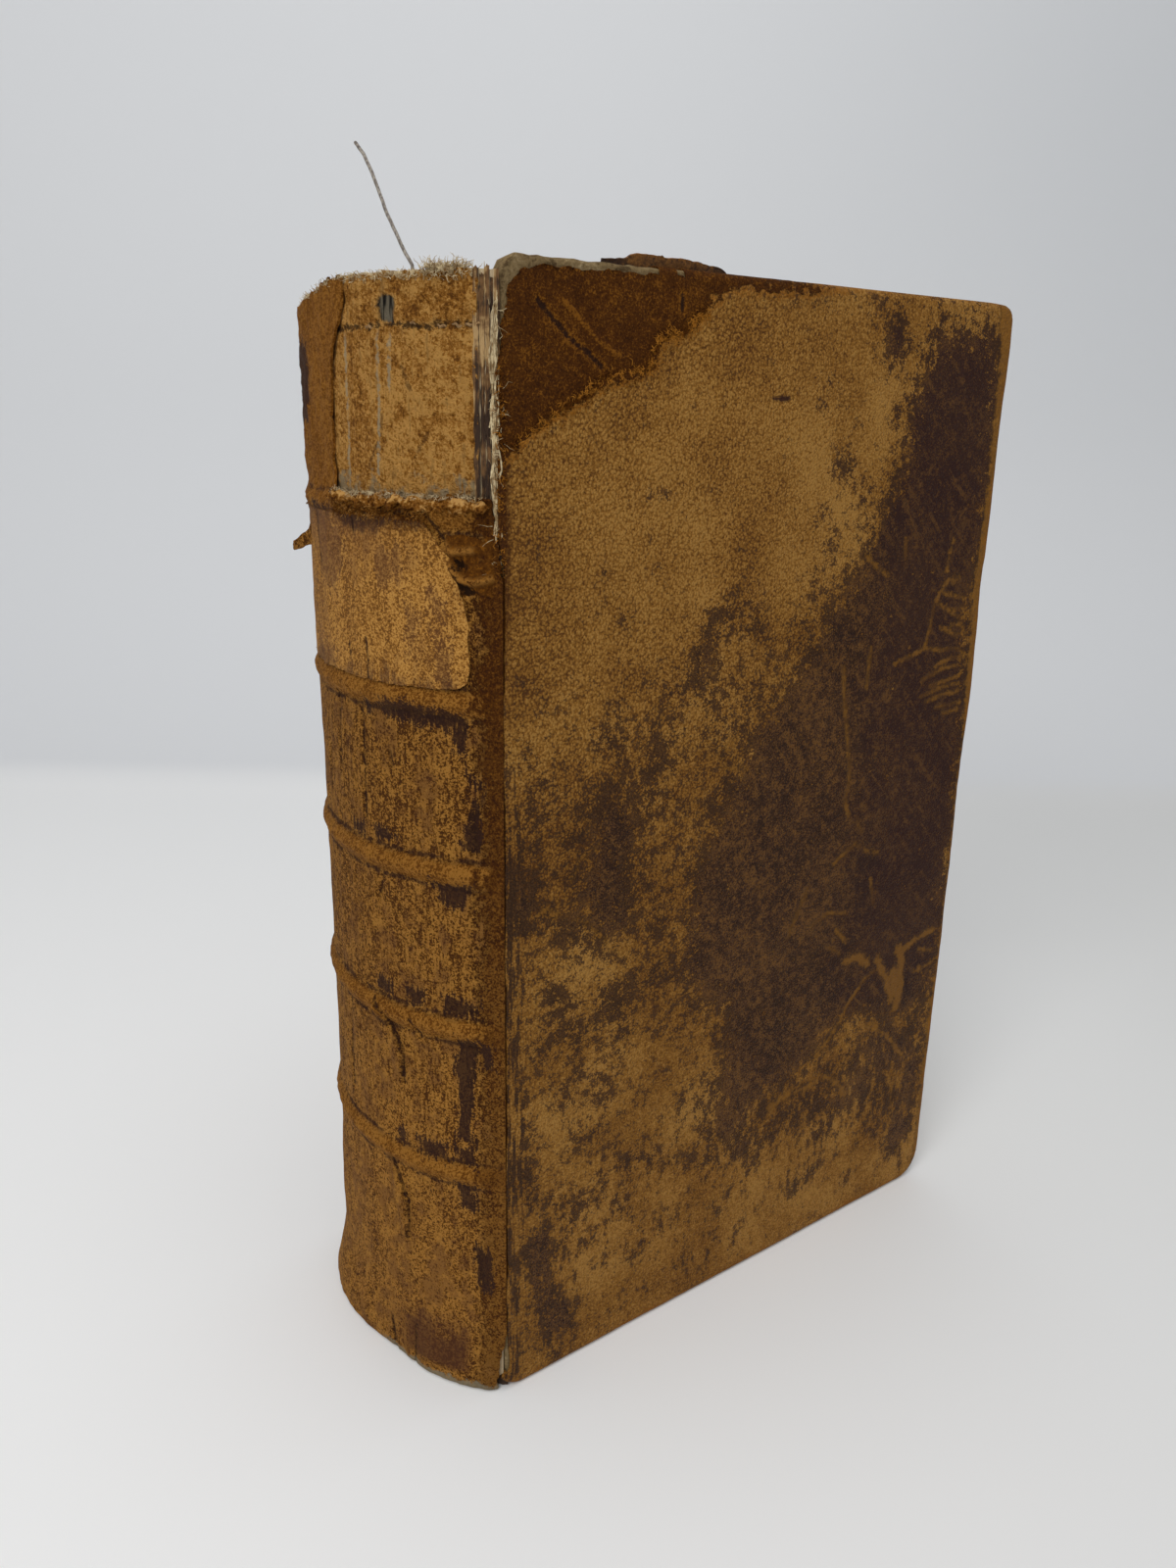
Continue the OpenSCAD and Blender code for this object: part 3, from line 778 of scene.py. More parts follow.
def makeFrontLeather(look):
    def gone(points):  # above 0 where the leather is lost
        return -outlineDistance(points, look["loss"]) + 0.4 * cloud(points, 2.6, 3, 1.7)

    def relief(flat):
        peel = outlineDistance(flat, look["peel"]) + 0.9 * cloud(flat, 3, 3, 4.1)
        torn = 1 - ease(peel, -0.6, 0.0)
        depth = 0.12 - 0.1 * cloud(flat, 24, 3) - 0.04 * cloud(flat, 4, 3)
        depth += torn * (0.34 + 0.1 * cloud(flat, 2.2, 4, 8.3))  # the torn patch lies lower
        depth -= 0.14 * bell(peel - 0.7, 0.7)  # its curled rim
        crease = nearest(flat, look["creases"])
        depth += 0.3 * bell(crease, 0.5) - 0.2 * bell(crease - 1.3, 0.7)
        depth -= 0.3 * bell(strokeDistance(flat, look["ridge"]), 0.7)
        depth += 0.1 * bell(nearest(flat, look["scratches"]), 0.5)
        depth += 0.35 * (1 - ease(strokeDistance(flat, look["chip"]), 0.4, 1.2))
        return np.clip(depth, -0.05, 0.55)

    sheet, flat = coverSheet("frontLeather", -1, coverShape["cell"], relief, gone)
    rubbed = [strokeDistance(flat, stroke) - wide for wide, stroke in look["rubbed"]]
    rubbed.append(coverW - flat[:, 0] - np.interp(flat[:, 1], *zip(*look["foreRub"])))
    paintFields(sheet, stain=stainShare(flat, look), scratch=nearest(flat, look["scratches"]),
                peel=outlineDistance(flat, look["peel"]), crease=nearest(flat, look["creases"]),
                ridge=strokeDistance(flat, look["ridge"]), chip=strokeDistance(flat, look["chip"]),
                rubbed=np.min(rubbed, axis=0))
    wrapCover(sheet, -1, gone)
    points = readPoints(sheet)
    points[:, 0] += foreDents(offCover(points))
    writePoints(sheet, points)
    finishSheet(sheet, (0, -1, 0), coverShape["thickness"], coverFinish)
    place(sheet, "front_cover", "calf", "front_leather")


makeFrontLeather(frontWear)

# Loose suede along the border of the torn patch and the split joint
tornHairs = {
    "count": 700, "off": 0.7, "length": 1.3, "radius": 0.1, "borderTo": 226, "pale": (0.34, 0.135, 0.016),
    "seed": 31, "edgeCount": 160, "edge": (178, 212), "edgeWide": (-0.9, 0.6),
}


def shadeSuedeHair(start, at):
    fine = grain(at, 1.5, 3, 0.6)
    return {"Base Color": tint(above(fine, 0.4, 0.6), calf["rust"], tornHairs["pale"])}


def makeTornHairs(look):
    rng = random.Random(look["seed"])
    border = [spot for spot in frontWear["peel"] if 0 < spot[0] and spot[1] < look["borderTo"]]
    spots = []
    for hair in range(look["count"]):
        share = rng.uniform(0, len(border) - 1.001)
        start, end = np.array(border[int(share)]), np.array(border[int(share) + 1])
        spots.append(start + (share % 1) * (end - start) + [rng.gauss(0, look["off"]) for axis in range(2)])
    for hair in range(look["edgeCount"]):
        spots.append(np.array([rng.uniform(*look["edgeWide"]), rng.uniform(*look["edge"])]))
    lines = []
    for spot in spots:
        aim = rng.uniform(0, 2 * math.pi)
        line = []
        for step in range(5):
            depth = 0.25 - 0.35 * math.sin(step / 4 * math.pi) * rng.uniform(0.3, 1)
            line.append(onCover(np.array([spot]), depth, -1)[0])
            aim += rng.gauss(0, 0.5)
            spot = spot + np.array([math.cos(aim), math.sin(aim)]) * look["length"] * rng.uniform(0.1, 0.4)
        lines.append(line)
    piece = meshTube("tornSuede", lines, look["radius"])
    wear(piece, material("suedeHair", shadeSuedeHair, Roughness=0.9, Specular_IOR_Level=0.08))
    place(piece, "front_cover", "calf")


makeTornHairs(tornHairs)
print("front leather made")


# Back cover, finished plainly
def makeBackLeather(look):
    def whole(points):
        return np.full(len(points), -look["farOff"])

    def relief(flat):
        depth = 0.12 - 0.1 * cloud(flat, 24, 3, 3.3) - 0.04 * cloud(flat, 4, 3, 3.3)
        return depth + 0.1 * bell(nearest(flat, look["scratches"]), 0.5)

    sheet, flat = coverSheet("backLeather", 1, coverShape["backCell"], relief, whole)
    far = np.full(len(flat), look["farOff"])
    paintFields(sheet, stain=stainShare(flat, look), scratch=nearest(flat, look["scratches"]),
                peel=far, crease=far, ridge=far, chip=far, rubbed=far)
    wrapCover(sheet, 1, whole)
    finishSheet(sheet, (0, 1, 0), coverShape["thickness"], coverFinish)
    place(sheet, "back_cover", "calf", "back_leather")


makeBackLeather(backWear)

# Turned-in leather that has lifted at the head of the front cover
flapShape = {
    "outline": [
        (22.4, -6), (23, 0.5), (28.2, 0.9), (29, 1.6), (32, 1.9), (43, 1.7), (48.6, 1.4), (51.6, 0.6),
        (53, -0.5), (53.4, -6),
    ],
    "wide": 34, "tall": 9, "from": 21, "low": -6, "cell": 0.45, "thickness": 0.45, "lean": 0.25,
    "tones": [(0.05, 0.018, 0.003), (0.14, 0.055, 0.009), (0.24, 0.1, 0.017)],
}


def shadeFlap(start, at):
    x, y, z = axes(at)
    fine = grain(at, 0.7, 4, 0.7)
    blotch = grain(at, 4, 4, 0.6)
    colour = tones(swing(blotch, 2) + swing(fine, 2.4) + 0.5, *flapShape["tones"])
    tip = above(z + swing(fine, 2.4), coverH + 1.2, coverH + 1.7)
    colour = tint(tip * 0.5, colour, calf["orange"])
    # darker at both ends: painted shadow in the gap under the lifted flap's left end, and the dark of its
    # right tip
    along = x - jointX + swing(fine, 4)
    ends = most(below(along, 27, 29.4), above(along, 49, 51))
    colour = tint(ends * 0.7, colour, calf["deep"])
    return {"Base Color": colour, "Normal": bump(fine, 0.4)}


def makeFlap(look):
    sheet, share = gridSheet("turnInFlap", look["wide"] / look["cell"], look["tall"] / look["cell"])
    flat = share * [look["wide"], look["tall"]] + [look["from"], look["low"]]

    def tear(points):
        return outlineDistance(points, look["outline"]) + 0.22 * cloud(points, 2.4, 3, 0.4)

    flat, outside = snapToEdge(flat, tear, look["cell"])
    rise = np.maximum(flat[:, 1], 0)
    depth = coverT - 0.2 - look["lean"] * rise + 0.35 * cloud(flat, 6, 2, 2.1) * ease(flat[:, 1], -3, 1)
    writePoints(sheet, onCover(flat + [0, coverH], depth, -1))
    dropPoints(sheet, outside)
    finish = material("liftedLeather", shadeFlap, Roughness=0.9)
    finishSheet(sheet, (0, -1, 0), look["thickness"], finish, offset=0)
    place(sheet, "front_cover", "calf")


makeFlap(flapShape)

# Pasteboard of the front cover, bare at the head beside the joint
boardShape = {
    "cell": 1.5, "round": 0.7, "tailCorner": 7, "headCorner": 3.5, "jointCorner": 3, "wornTo": 52,
    "tones": [(0.075, 0.045, 0.018), (0.2, 0.135, 0.06), (0.36, 0.27, 0.145)],
}


def shadeBoard(start, at):
    fine = grain(at, 0.8, 4, 0.7)
    layers = grain(at, 1.0, 3, 0.6, (0.12, 1.6, 0.12), 0.5)
    blotch = grain(at, 7, 4, 0.6)
    light = 0.5 + swing(blotch, 1.4) + swing(fine, 1.4) - above(layers, 0.5, 0.68) * 0.3
    colour = tones(light, *boardShape["tones"])
    return {"Base Color": colour, "Normal": bump(layers + fine, 0.5)}


boardFinish = material("pasteboard", shadeBoard, Roughness=0.92, Specular_IOR_Level=0.15)


def boardEdge(points, inset):  # distance past the pasteboard's outline
    left, low = boardLow[0] - jointX + inset, boardLow[2] + inset
    right, high = boardHigh[0] - jointX - inset, boardHigh[2] - inset
    u, z = points.T
    foreCorner = np.where(z < coverH / 2, boardShape["tailCorner"], boardShape["headCorner"])
    corner = np.where(u < (left + right) / 2, boardShape["jointCorner"], foreCorner)
    across = np.maximum(left + corner - u, u - right + corner)
    up = np.maximum(low + corner - z, z - high + corner)
    outside = np.hypot(np.maximum(across, 0), np.maximum(up, 0))
    return outside + np.minimum(np.maximum(across, up), 0) - corner


def makeBoard(look):
    wide, tall = boardHigh[0] - boardLow[0], boardHigh[2] - boardLow[2]
    sheet, share = gridSheet("frontBoard", wide / look["cell"], tall / look["cell"])
    flat = share * [wide, tall] + [boardLow[0] - jointX, boardLow[2]]

    def whole(points):
        return boardEdge(points, 0)

    def tear(points):
        return boardEdge(points, look["round"])

    def near(points):
        return tear(points) > -0.25

    flat, outside = snapToEdge(flat, tear, look["cell"])
    writePoints(sheet, onCover(flat, np.full(len(flat), leatherT), -1))
    dropPoints(sheet, outside)
    profile = roundedProfile(look["round"], look["round"], boardHigh[1] - boardLow[1], 0.6, 3)
    wrapEdges(sheet, profile[:-2], -1, whole, near)
    workOn(sheet)
    bpy.ops.object.mode_set(mode="EDIT")
    bpy.ops.mesh.edge_face_add()  # the board's inside face
    bpy.ops.mesh.select_all(action="SELECT")
    bpy.ops.mesh.normals_make_consistent(inside=False)
    bpy.ops.object.mode_set(mode="OBJECT")
    points = readPoints(sheet)
    flat = offCover(points)
    points[:, 0] += foreDents(flat)
    crumbled = 1 - ease(flat[:, 0], look["wornTo"] - 12, look["wornTo"])
    crumbled *= ease(flat[:, 1], coverH - 9, coverH - 1)
    points[:, 2] += crumbled * (0.5 - 0.6 * np.abs(cloud(points, 3.5, 3, 1.3)))
    points[:, 1] += 0.3 * crumbled * cloud(points, 2, 3, 6.3)
    writePoints(sheet, points)
    smooth(sheet, 40)
    wear(sheet, boardFinish)
    place(sheet, "front_cover", "pasteboard", "front_board")


makeBoard(boardShape)
print("covers made")

# Calf over the spine, with its bands, cracks and the torn head panel
spineCalf = {
    "pale": (0.4, 0.184, 0.034), "tan": (0.19, 0.072, 0.009), "brown": (0.07, 0.024, 0.004),
    "purple": (0.03, 0.0115, 0.0075), "rust": (0.062, 0.0175, 0.001), "orange": (0.19, 0.066, 0.005),
    "darkRust": (0.03, 0.008, 0.002), "grey": (0.25, 0.205, 0.13), "plum": (0.085, 0.031, 0.014),
}
spineShape = {
    "cell": 0.8, "thickness": 0.5, "bandRise": 1.4, "farRise": 0.64, "bandHalf": 3.0, "bandEnd": 43,
    "tailRound": 0.9, "tailTurn": 5, "overCord": 0.12, "lipRise": 1.0, "lipBand": (188.2, 3.0),
    "tailFlare": [
        (-46, -0.4), (-41, 0.9), (-34, 1.1), (-24, 1.1), (-16, 0.1), (-9, 0), (-2, 0.9), (3, 1.5),
        (9, 2.3), (16, 3.0), (24, 3.3), (36, 1.4), (46, 0),
    ],
}
spineWear = {
    "loss": [
        (-60, 177), (-45.9, 177), (-45.2, 183), (-44, 190.2), (-36, 190.8), (-29, 190), (-21, 190.9),
        (-13, 190.2), (-2, 190.7), (-1, 196), (-1.3, 206), (-2.2, 213), (-4.2, 217.4), (-6.6, 220),
        (-7.6, 224), (-8, 240), (-60, 240),
    ],
    "cracks": [
        [(-9.3, 89), (-13.4, 86.6), (-18.3, 80), (-19, 72)], [(-13.6, 52), (-18.6, 43), (-18.4, 33)],
        [(-20.3, 11), (-19.9, 0)], [(-10.6, 9), (-12, 0)], [(16.8, 213), (19.6, 202)],
        [(-22, 88), (-24.6, 84)], [(-29.7, 188), (-33, 184), (-35.6, 182)],
        [(-35.6, 182), (-37.3, 178.6), (-37.7, 175), (-43.6, 176.6)],
        [(-8, 150), (-9, 138), (-8.2, 128)], [(-14, 117), (-12.5, 112)], [(4, 84), (5, 70), (4.2, 62)],
        [(2, 152), (3, 136)], [(-17.6, 143), (-18.6, 140)],
    ],
    "split": [(-60, -12), (-43.4, -12), (-43.9, 3), (-44.8, 10), (-46.2, 15.5), (-60, 17)],
    "flakes": [
        [(-9.3, 89.6), (-13.4, 87), (-18.6, 80), (-19.4, 72), (-16, 74), (-12.6, 80), (-9, 84)],
        [(-13, 53), (-18.8, 43.4), (-18.8, 33), (-16.4, 33), (-14, 42)],
    ],
    "blots": [
        [(-10, 152.8), (-38, 152.8), (-38, 149.4), (-33, 148.6), (-22, 150.2), (-10, 150)],
        [(-35, 150.4), (-38.6, 150.4), (-38, 145), (-35, 145.6)],
        [(-38.6, 141), (-41.6, 140), (-41.2, 132), (-39, 133)],
        [(-36.4, 131.4), (-41.4, 131), (-41.2, 126.2), (-36.6, 126.6)],
        [(-3, 127), (-8, 127), (-8, 124.4), (-3, 124.4)],
        [(-12, 127), (-20, 127), (-20, 124.8), (-12, 124.8)],
        [(-29, 119), (-38.6, 119), (-37.6, 114), (-32, 114)],
        [(-11, 94.4), (-16, 94.4), (-16, 91.2), (-11, 91.2)],
        [(-20, 95), (-26, 95), (-25.4, 91), (-20, 91)],
        [(-31, 94.4), (-39.4, 94.4), (-39.4, 91), (-31, 91)],
        [(-41, 85), (-43.2, 85), (-43.2, 80), (-41, 80)],
        [(-34.4, 86), (-40, 86), (-39.4, 80), (-38.2, 72), (-38, 62), (-34.6, 63), (-35, 74)],
        [(-16.6, 60.4), (-19.4, 60.4), (-19.4, 56.8), (-16.6, 56.8)],
        [(-22.6, 60.6), (-31.4, 60.6), (-31.6, 56.6), (-23, 56.8)],
        [(-32.6, 60.8), (-38.8, 60.8), (-38.8, 56.8), (-32.6, 56.8)],
        [(-33.6, 52.4), (-39.4, 52), (-38.4, 45.4), (-34.6, 46.4)],
        [(-38.2, 38), (-42.8, 35), (-42.2, 25.6), (-38.4, 28)],
        # painted shadow under the torn lip
        [(14, 187.6), (-28, 187.6), (-28, 185.6), (-8, 186), (14, 186.6)],
        # painted shadow in the dark gap beside the torn left edge
        [(12, 217), (26, 217), (26, 202), (15, 202), (12.6, 208)],
    ],
}


def shadeSpine(start, at):
    x, y, z = axes(at)
    band = field(start, "bandDist")
    crack = field(start, "crack")
    blot = field(start, "blot")
    streak = grain(at, 0.7, 6, 0.72, (1, 1, 0.16))
    slow = grain(at, 7, 5, 0.62, (1, 1, 0.4), 0.4)
    blotch = grain(at, 5, 7, 0.7, shift=0.2)
    fine = grain(at, 1.2, 6, 0.74)
    grit = grain(at, 0.45, 3, 0.75)
    # smooth parts: the bands, a strip by the joint and the bare head
    onBand = below(band + swing(fine, 3), 1.9, 2.9)
    strip = below(y + swing(fine, 10) + swing(blotch, 10), -33, -30.4)
    head = above(z, 184, 190)
    smoothPart = most(most(onBand, strip), head)
    worn = below(z, 45, 100)
    soft = swing(fine, 2) + swing(grit, 3.2)
    rough = (1 - smoothPart * 0.7) * (1 - worn * 0.45)
    light = 0.62 + swing(slow, 2.2) + soft * 2.1 + swing(streak, 3.5) * rough + worn * 0.14
    colour = tones(light, spineCalf["brown"], spineCalf["tan"], spineCalf["pale"])
    colour = tint(most(onBand * 0.4, head * 0.55), colour, spineCalf["orange"])
    # bruises, the dark patch at the tail and the seams beside the bands
    bruise = above(blotch * 0.6 + slow * 0.4 + swing(grit, 0.3), 0.505, 0.57) * (1 - smoothPart)
    colour = tint(bruise * 0.48, colour, spineCalf["plum"])
    low = below(z + swing(blotch, 30), 10, 18) * above(z + swing(fine, 6), 3, 5)
    low = low * below(y + swing(blotch, 30), -17, -10) * above(y, -31, -28)
    colour = tint(low * 0.8, colour, spineCalf["plum"])
    seam = below(most(band - 3.0, 3.0 - band) + swing(fine, 2), 0.2, 0.7) * above(blotch, 0.42, 0.52)
    colour = tint(seam * 0.72, colour, spineCalf["purple"])
    stripTone = tones(soft * 0.6 + 0.45, spineCalf["darkRust"], spineCalf["rust"], spineCalf["orange"])
    colour = tint(strip * (above(z, 60, 150) * 0.32 + 0.6), colour, stripTone)
    # blots, some of them painted shadow under the head lip and beside the torn left edge, then cracks and the
    # grey edge at the tail
    spot = below(blot + swing(blotch, 8) + swing(streak, 8) + swing(grit, 4), -0.4, 0.5)
    colour = tint(spot * 0.87, colour, spineCalf["purple"])
    # cracks painted dark; along the lifted flakes and the slit by the torn left edge this also stands as
    # painted shadow
    gap = below(crack + swing(fine, 1.6), 0.1, 0.5)
    colour = tint(gap * 0.88, colour, spineCalf["purple"])
    tail = below(z + swing(blotch, 5) + swing(fine, 3), 1.5, 2.1) * below(y, -11, -3)
    colour = tint(tail * 0.85, colour, spineCalf["grey"])
    height = fine * 1.3 + streak * rough * 1.6 + grit * 0.6 - gap
    return {"Base Color": colour, "Roughness": 0.85 - spot * 0.15, "Normal": bump(height, 0.6, 0.9)}


spineFinish = material("spineCalf", shadeSpine, Specular_IOR_Level=0.08)


def headSag(angle):  # the worn head is lower on its far side
    return 3 * ease(np.asarray(angle, float), -10, 24)


def spineLift(flat, shape, look):  # how far the skin stands off the round of the spine
    a, z = flat.T
    reach = shape["bandEnd"] * perDegree
    ends = 1 - ease(np.abs(a), reach - 3, reach)
    far = 1 - (1 - shape["farRise"]) * ease(a, -5, 28)
    lift = np.zeros(len(a))
    for middle, half in [(middle, shape["bandHalf"]) for middle in bandZ[:4]] + [shape["lipBand"]]:
        lift += shape["bandRise"] * ends * far * ease(1 - np.abs(z - middle) / half, 0, 1)
    gone = np.maximum(outlineDistance(flat, arc(look["loss"])), 0)
    byLip = ease(z, 186, 188) * (1 - ease(z, 191, 193)) * (1 - ease(a, -3, 0))
    lift += shape["lipRise"] * np.exp(-gone / 1.3) * byLip  # the lip under the torn head
    flare = np.interp(a / perDegree, *zip(*shape["tailFlare"]))
    lift += flare * bell(np.maximum(z - 2.5, 0), 9)  # the tail flares
    farSide = ease(a, 4, 17) * (1 - ease(a, 24, 34))  # it bulges at the tail and at the head
    lift += farSide * (0.6 * bell(z - 30, 16) + 0.7 * ease(z, 186, 196))
    for flake in look["flakes"]:
        lift += 0.75 * (1 - ease(outlineDistance(flat, arc(flake)), -0.9, 0.1))
    tall = np.column_stack([a, z * 0.12])  # upright wrinkles
    lift += 0.16 * cloud(tall, 2.2, 4, 1.1) * ease(190 - z, 0, 4) + 0.14 * cloud(flat, 9, 3, 7.7)
    lift += 0.3 * cloud(flat, 2.2, 4, 3.7) * ease(z, 183, 187)
    lift += 0.12 * np.exp(-gone / 1.6) * ease(a, -8, -6) * ease(z, 189, 193)
    lift += 0.2 * bell(a + 42 * perDegree, 1.4)  # a fold along the joint
    lift -= 0.4 * bell(strokesOnSpine(flat, look["cracks"]), 0.5)
    for middle in bandZ:  # the skin never sinks into a sewing cord
        over = cordOut - cordR + np.sqrt(np.maximum(cordR ** 2 - (z - middle) ** 2, 0)) + shape["overCord"]
        lift = np.where((np.abs(z - middle) < cordR) & (np.abs(a) < reach), np.maximum(lift, over), lift)
    return lift


def makeSpine(shape, look):
    halfArc, tall = spineEnd * perDegree, headZ + 1 + shape["tailTurn"]
    sheet, share = gridSheet("spineLeather", 2 * halfArc / shape["cell"], tall / shape["cell"])
    flat = share * [2 * halfArc, tall] - [halfArc, shape["tailTurn"]]

    def tear(points):
        gone = -spotsOnSpine(points, [look["loss"], look["split"]])
        gone += 0.5 * cloud(points, 2.4, 3, 2.9)
        top = headZ - 0.4 - 1.3 * headSag(points[:, 0] / perDegree)
        return np.maximum(gone, points[:, 1] - top + 0.9 * cloud(points, 2.4, 3, 6.1))

    flat, outside = snapToEdge(flat, tear, shape["cell"])
    bend = shape["tailRound"]
    turn = np.clip((bend - flat[:, 1]) / bend, 0, math.pi / 2)
    inwards = bend * (1 - np.cos(turn)) + np.maximum(bend * (1 - math.pi / 2) - flat[:, 1], 0)
    height = np.where(flat[:, 1] < bend, bend - bend * np.sin(turn), flat[:, 1])
    lift = spineLift(flat, shape, look) * ease(flat[:, 1], -3.5, -0.5)
    writePoints(sheet, onSpine(flat[:, 0] / perDegree, height, spineR + lift - inwards))
    toBand = np.min([np.abs(flat[:, 1] - middle) for middle in bandZ], axis=0)
    paintFields(sheet, bandDist=toBand, crack=strokesOnSpine(flat, look["cracks"]),
                blot=spotsOnSpine(flat, look["blots"]))
    dropPoints(sheet, outside)
    finishSheet(sheet, (-1, 0, 0), shape["thickness"], spineFinish)
    place(sheet, "book_block", "calf", "spine_leather")


makeSpine(spineShape, spineWear)

# Leather label on the second panel
labelShape = {
    "outline": [
        (-38.8, 168), (-39.2, 160.4), (-38.4, 158), (-36, 156.8), (-20, 156.4), (38, 156.8),
        (39, 186.4), (-10, 186.6), (-28.4, 187), (-31, 184.2), (-33, 182), (-35, 180.4), (-35.6, 178.4),
        (-36.8, 175.6), (-38, 172.4),
    ],
    "wide": 82, "tall": 34, "low": 155,  # the sheet it is cut from: degrees, then millimetres
    "cell": 0.7, "lift": 0.5, "thickness": 0.4,
    "cracks": [
        [(10.4, 187), (9.6, 181), (8.3, 176)], [(-8.6, 186), (-9, 183)],
        [(-11.8, 164.6), (-12.4, 160), (-12, 156)], [(-5.4, 162.6), (-5.8, 160)],
    ],
    "smudges": [
        [(-24, 171), (-27.6, 171), (-28, 163), (-25, 162)],
        [(-30, 174), (-34, 173), (-34.6, 160), (-31, 158)],
        [(-15, 181), (-22, 181), (-23, 175), (-17, 174)],
        [(9, 186), (-5, 185), (-6, 178), (2, 172), (9, 174)],
        [(16, 161), (2, 160), (2, 157), (16, 157)],
    ],
    "tones": [(0.13, 0.05, 0.008), (0.285, 0.12, 0.0185), (0.48, 0.24, 0.054)],
    "smudgeTone": (0.095, 0.038, 0.016), "shoulderTone": (0.13, 0.05, 0.019),
    "rimTone": (0.06, 0.024, 0.013), "lipShadowTone": (0.05, 0.02, 0.011),
}


def shadeLabel(start, at):
    x, y, z = axes(at)
    streak = grain(at, 1.4, 5, 0.68, (1, 1, 0.16))
    slow = grain(at, 11, 5, 0.62, (1, 1, 0.6), 0.4)
    fine = grain(at, 1.1, 6, 0.75)
    grit = grain(at, 0.45, 3, 0.75)
    light = 0.57 + swing(slow, 1.7) + swing(fine, 2.6) + swing(grit, 5) + swing(streak, 0.9)
    colour = tones(light, *labelShape["tones"])
    patch = grain(at, 4, 6, 0.68, (1, 1, 0.4), 0.75)
    smudge = field(start, "smudge") + swing(patch, 16) + swing(fine, 8) + swing(grit, 6)
    dirty = most(below(smudge, -1.2, 1) * 0.5, above(patch, 0.54, 0.62) * 0.25)
    colour = tint(dirty, colour, labelShape["smudgeTone"])
    shoulder = above(z + swing(slow, 60), 174, 184) * above(y, -24, -8)
    colour = tint(shoulder * 0.4, colour, labelShape["shoulderTone"])
    # darker rims along the label's lower and upper edges; the upper one is painted shadow under the torn lip
    rims = most(below(z + swing(slow, 14), 157, 159.5), above(z + swing(slow, 20), 183.4, 185.6))
    rims = rims * above(streak + swing(fine, 0.6), 0.42, 0.54)
    colour = tint(rims * 0.65, colour, labelShape["rimTone"])
    # painted shadow under the torn lip, across the top of the label
    under = above(z + swing(fine, 7) + swing(slow, 12), 183.6, 185.6)
    under = under * below(y, -5, -2) * above(y, -26, -23)
    colour = tint(under * 0.75, colour, labelShape["lipShadowTone"])
    gap = below(field(start, "crack") + (fine - 0.5), 0.1, 0.45)
    colour = tint(gap * 0.9, colour, spineCalf["purple"])
    return {"Base Color": colour, "Normal": bump(fine + grit * 0.6 - gap, 0.4, 0.9)}


def makeLabel(look):
    wide, tall = look["wide"] * perDegree, look["tall"]
    sheet, share = gridSheet("titleLabel", wide / look["cell"], tall / look["cell"])
    flat = share * [wide, tall] + [-wide / 2, look["low"]]

    def tear(points):
        return outlineDistance(points, arc(look["outline"])) + 0.25 * cloud(points, 2, 3, 5.5)

    flat, outside = snapToEdge(flat, tear, look["cell"])
    lift = spineLift(flat, spineShape, {**spineWear, "cracks": look["cracks"]})
    lift = 0.4 * lift + look["lift"] + 0.12 * cloud(flat, 5, 3, 9.1)
    writePoints(sheet, onSpine(flat[:, 0] / perDegree, flat[:, 1], spineR + lift))
    paintFields(sheet, crack=strokesOnSpine(flat, look["cracks"]), smudge=spotsOnSpine(flat, look["smudges"]))
    dropPoints(sheet, outside)
    finish = material("labelCalf", shadeLabel, Roughness=0.75, Specular_IOR_Level=0.1)
    finishSheet(sheet, (-1, 0, 0), look["thickness"], finish)
    place(sheet, "book_block", "label_leather", "title_label")


makeLabel(labelShape)
print("spine made")

# Old glue and leather fibre left on the section folds of the head panel
residueShape = {
    "cell": 0.45, "from": -41.2, "to": 0.6, "low": 187.5, "thickness": 0.5, "kettle": headZ - 8.5,
    "hole": [(-17.6, 222.6), (-20, 223.6), (-22.8, 223), (-22.4, 220.4), (-22.4, 218.8), (-18.8, 219)],
    "folds": [
        [(-6.8, 217.6), (-7, 204), (-6.6, 191)], [(-17.8, 218), (-17.5, 205), (-16.8, 194)],
        [(-21, 217), (-20.6, 208)],
    ],
    "marks": [[(-14, 195), (-17.4, 200), (-18.4, 204)], [(-27, 197), (-30, 201)], [(-24, 212), (-26, 208)]],
    "tones": [(0.16, 0.056, 0.007), (0.38, 0.155, 0.022), (0.66, 0.34, 0.085)],
    "streakTone": (0.12, 0.05, 0.014), "greyTone": (0.33, 0.27, 0.165), "markTone": (0.08, 0.03, 0.008),
    "foldTone": (0.47, 0.375, 0.23), "stitchAndGrooveShadeTone": (0.045, 0.024, 0.01), "shadowTone": (0.05, 0.022, 0.008),
    "holeShadowTone": (0.014, 0.011, 0.008), "pageTone": (0.2, 0.165, 0.11),
}


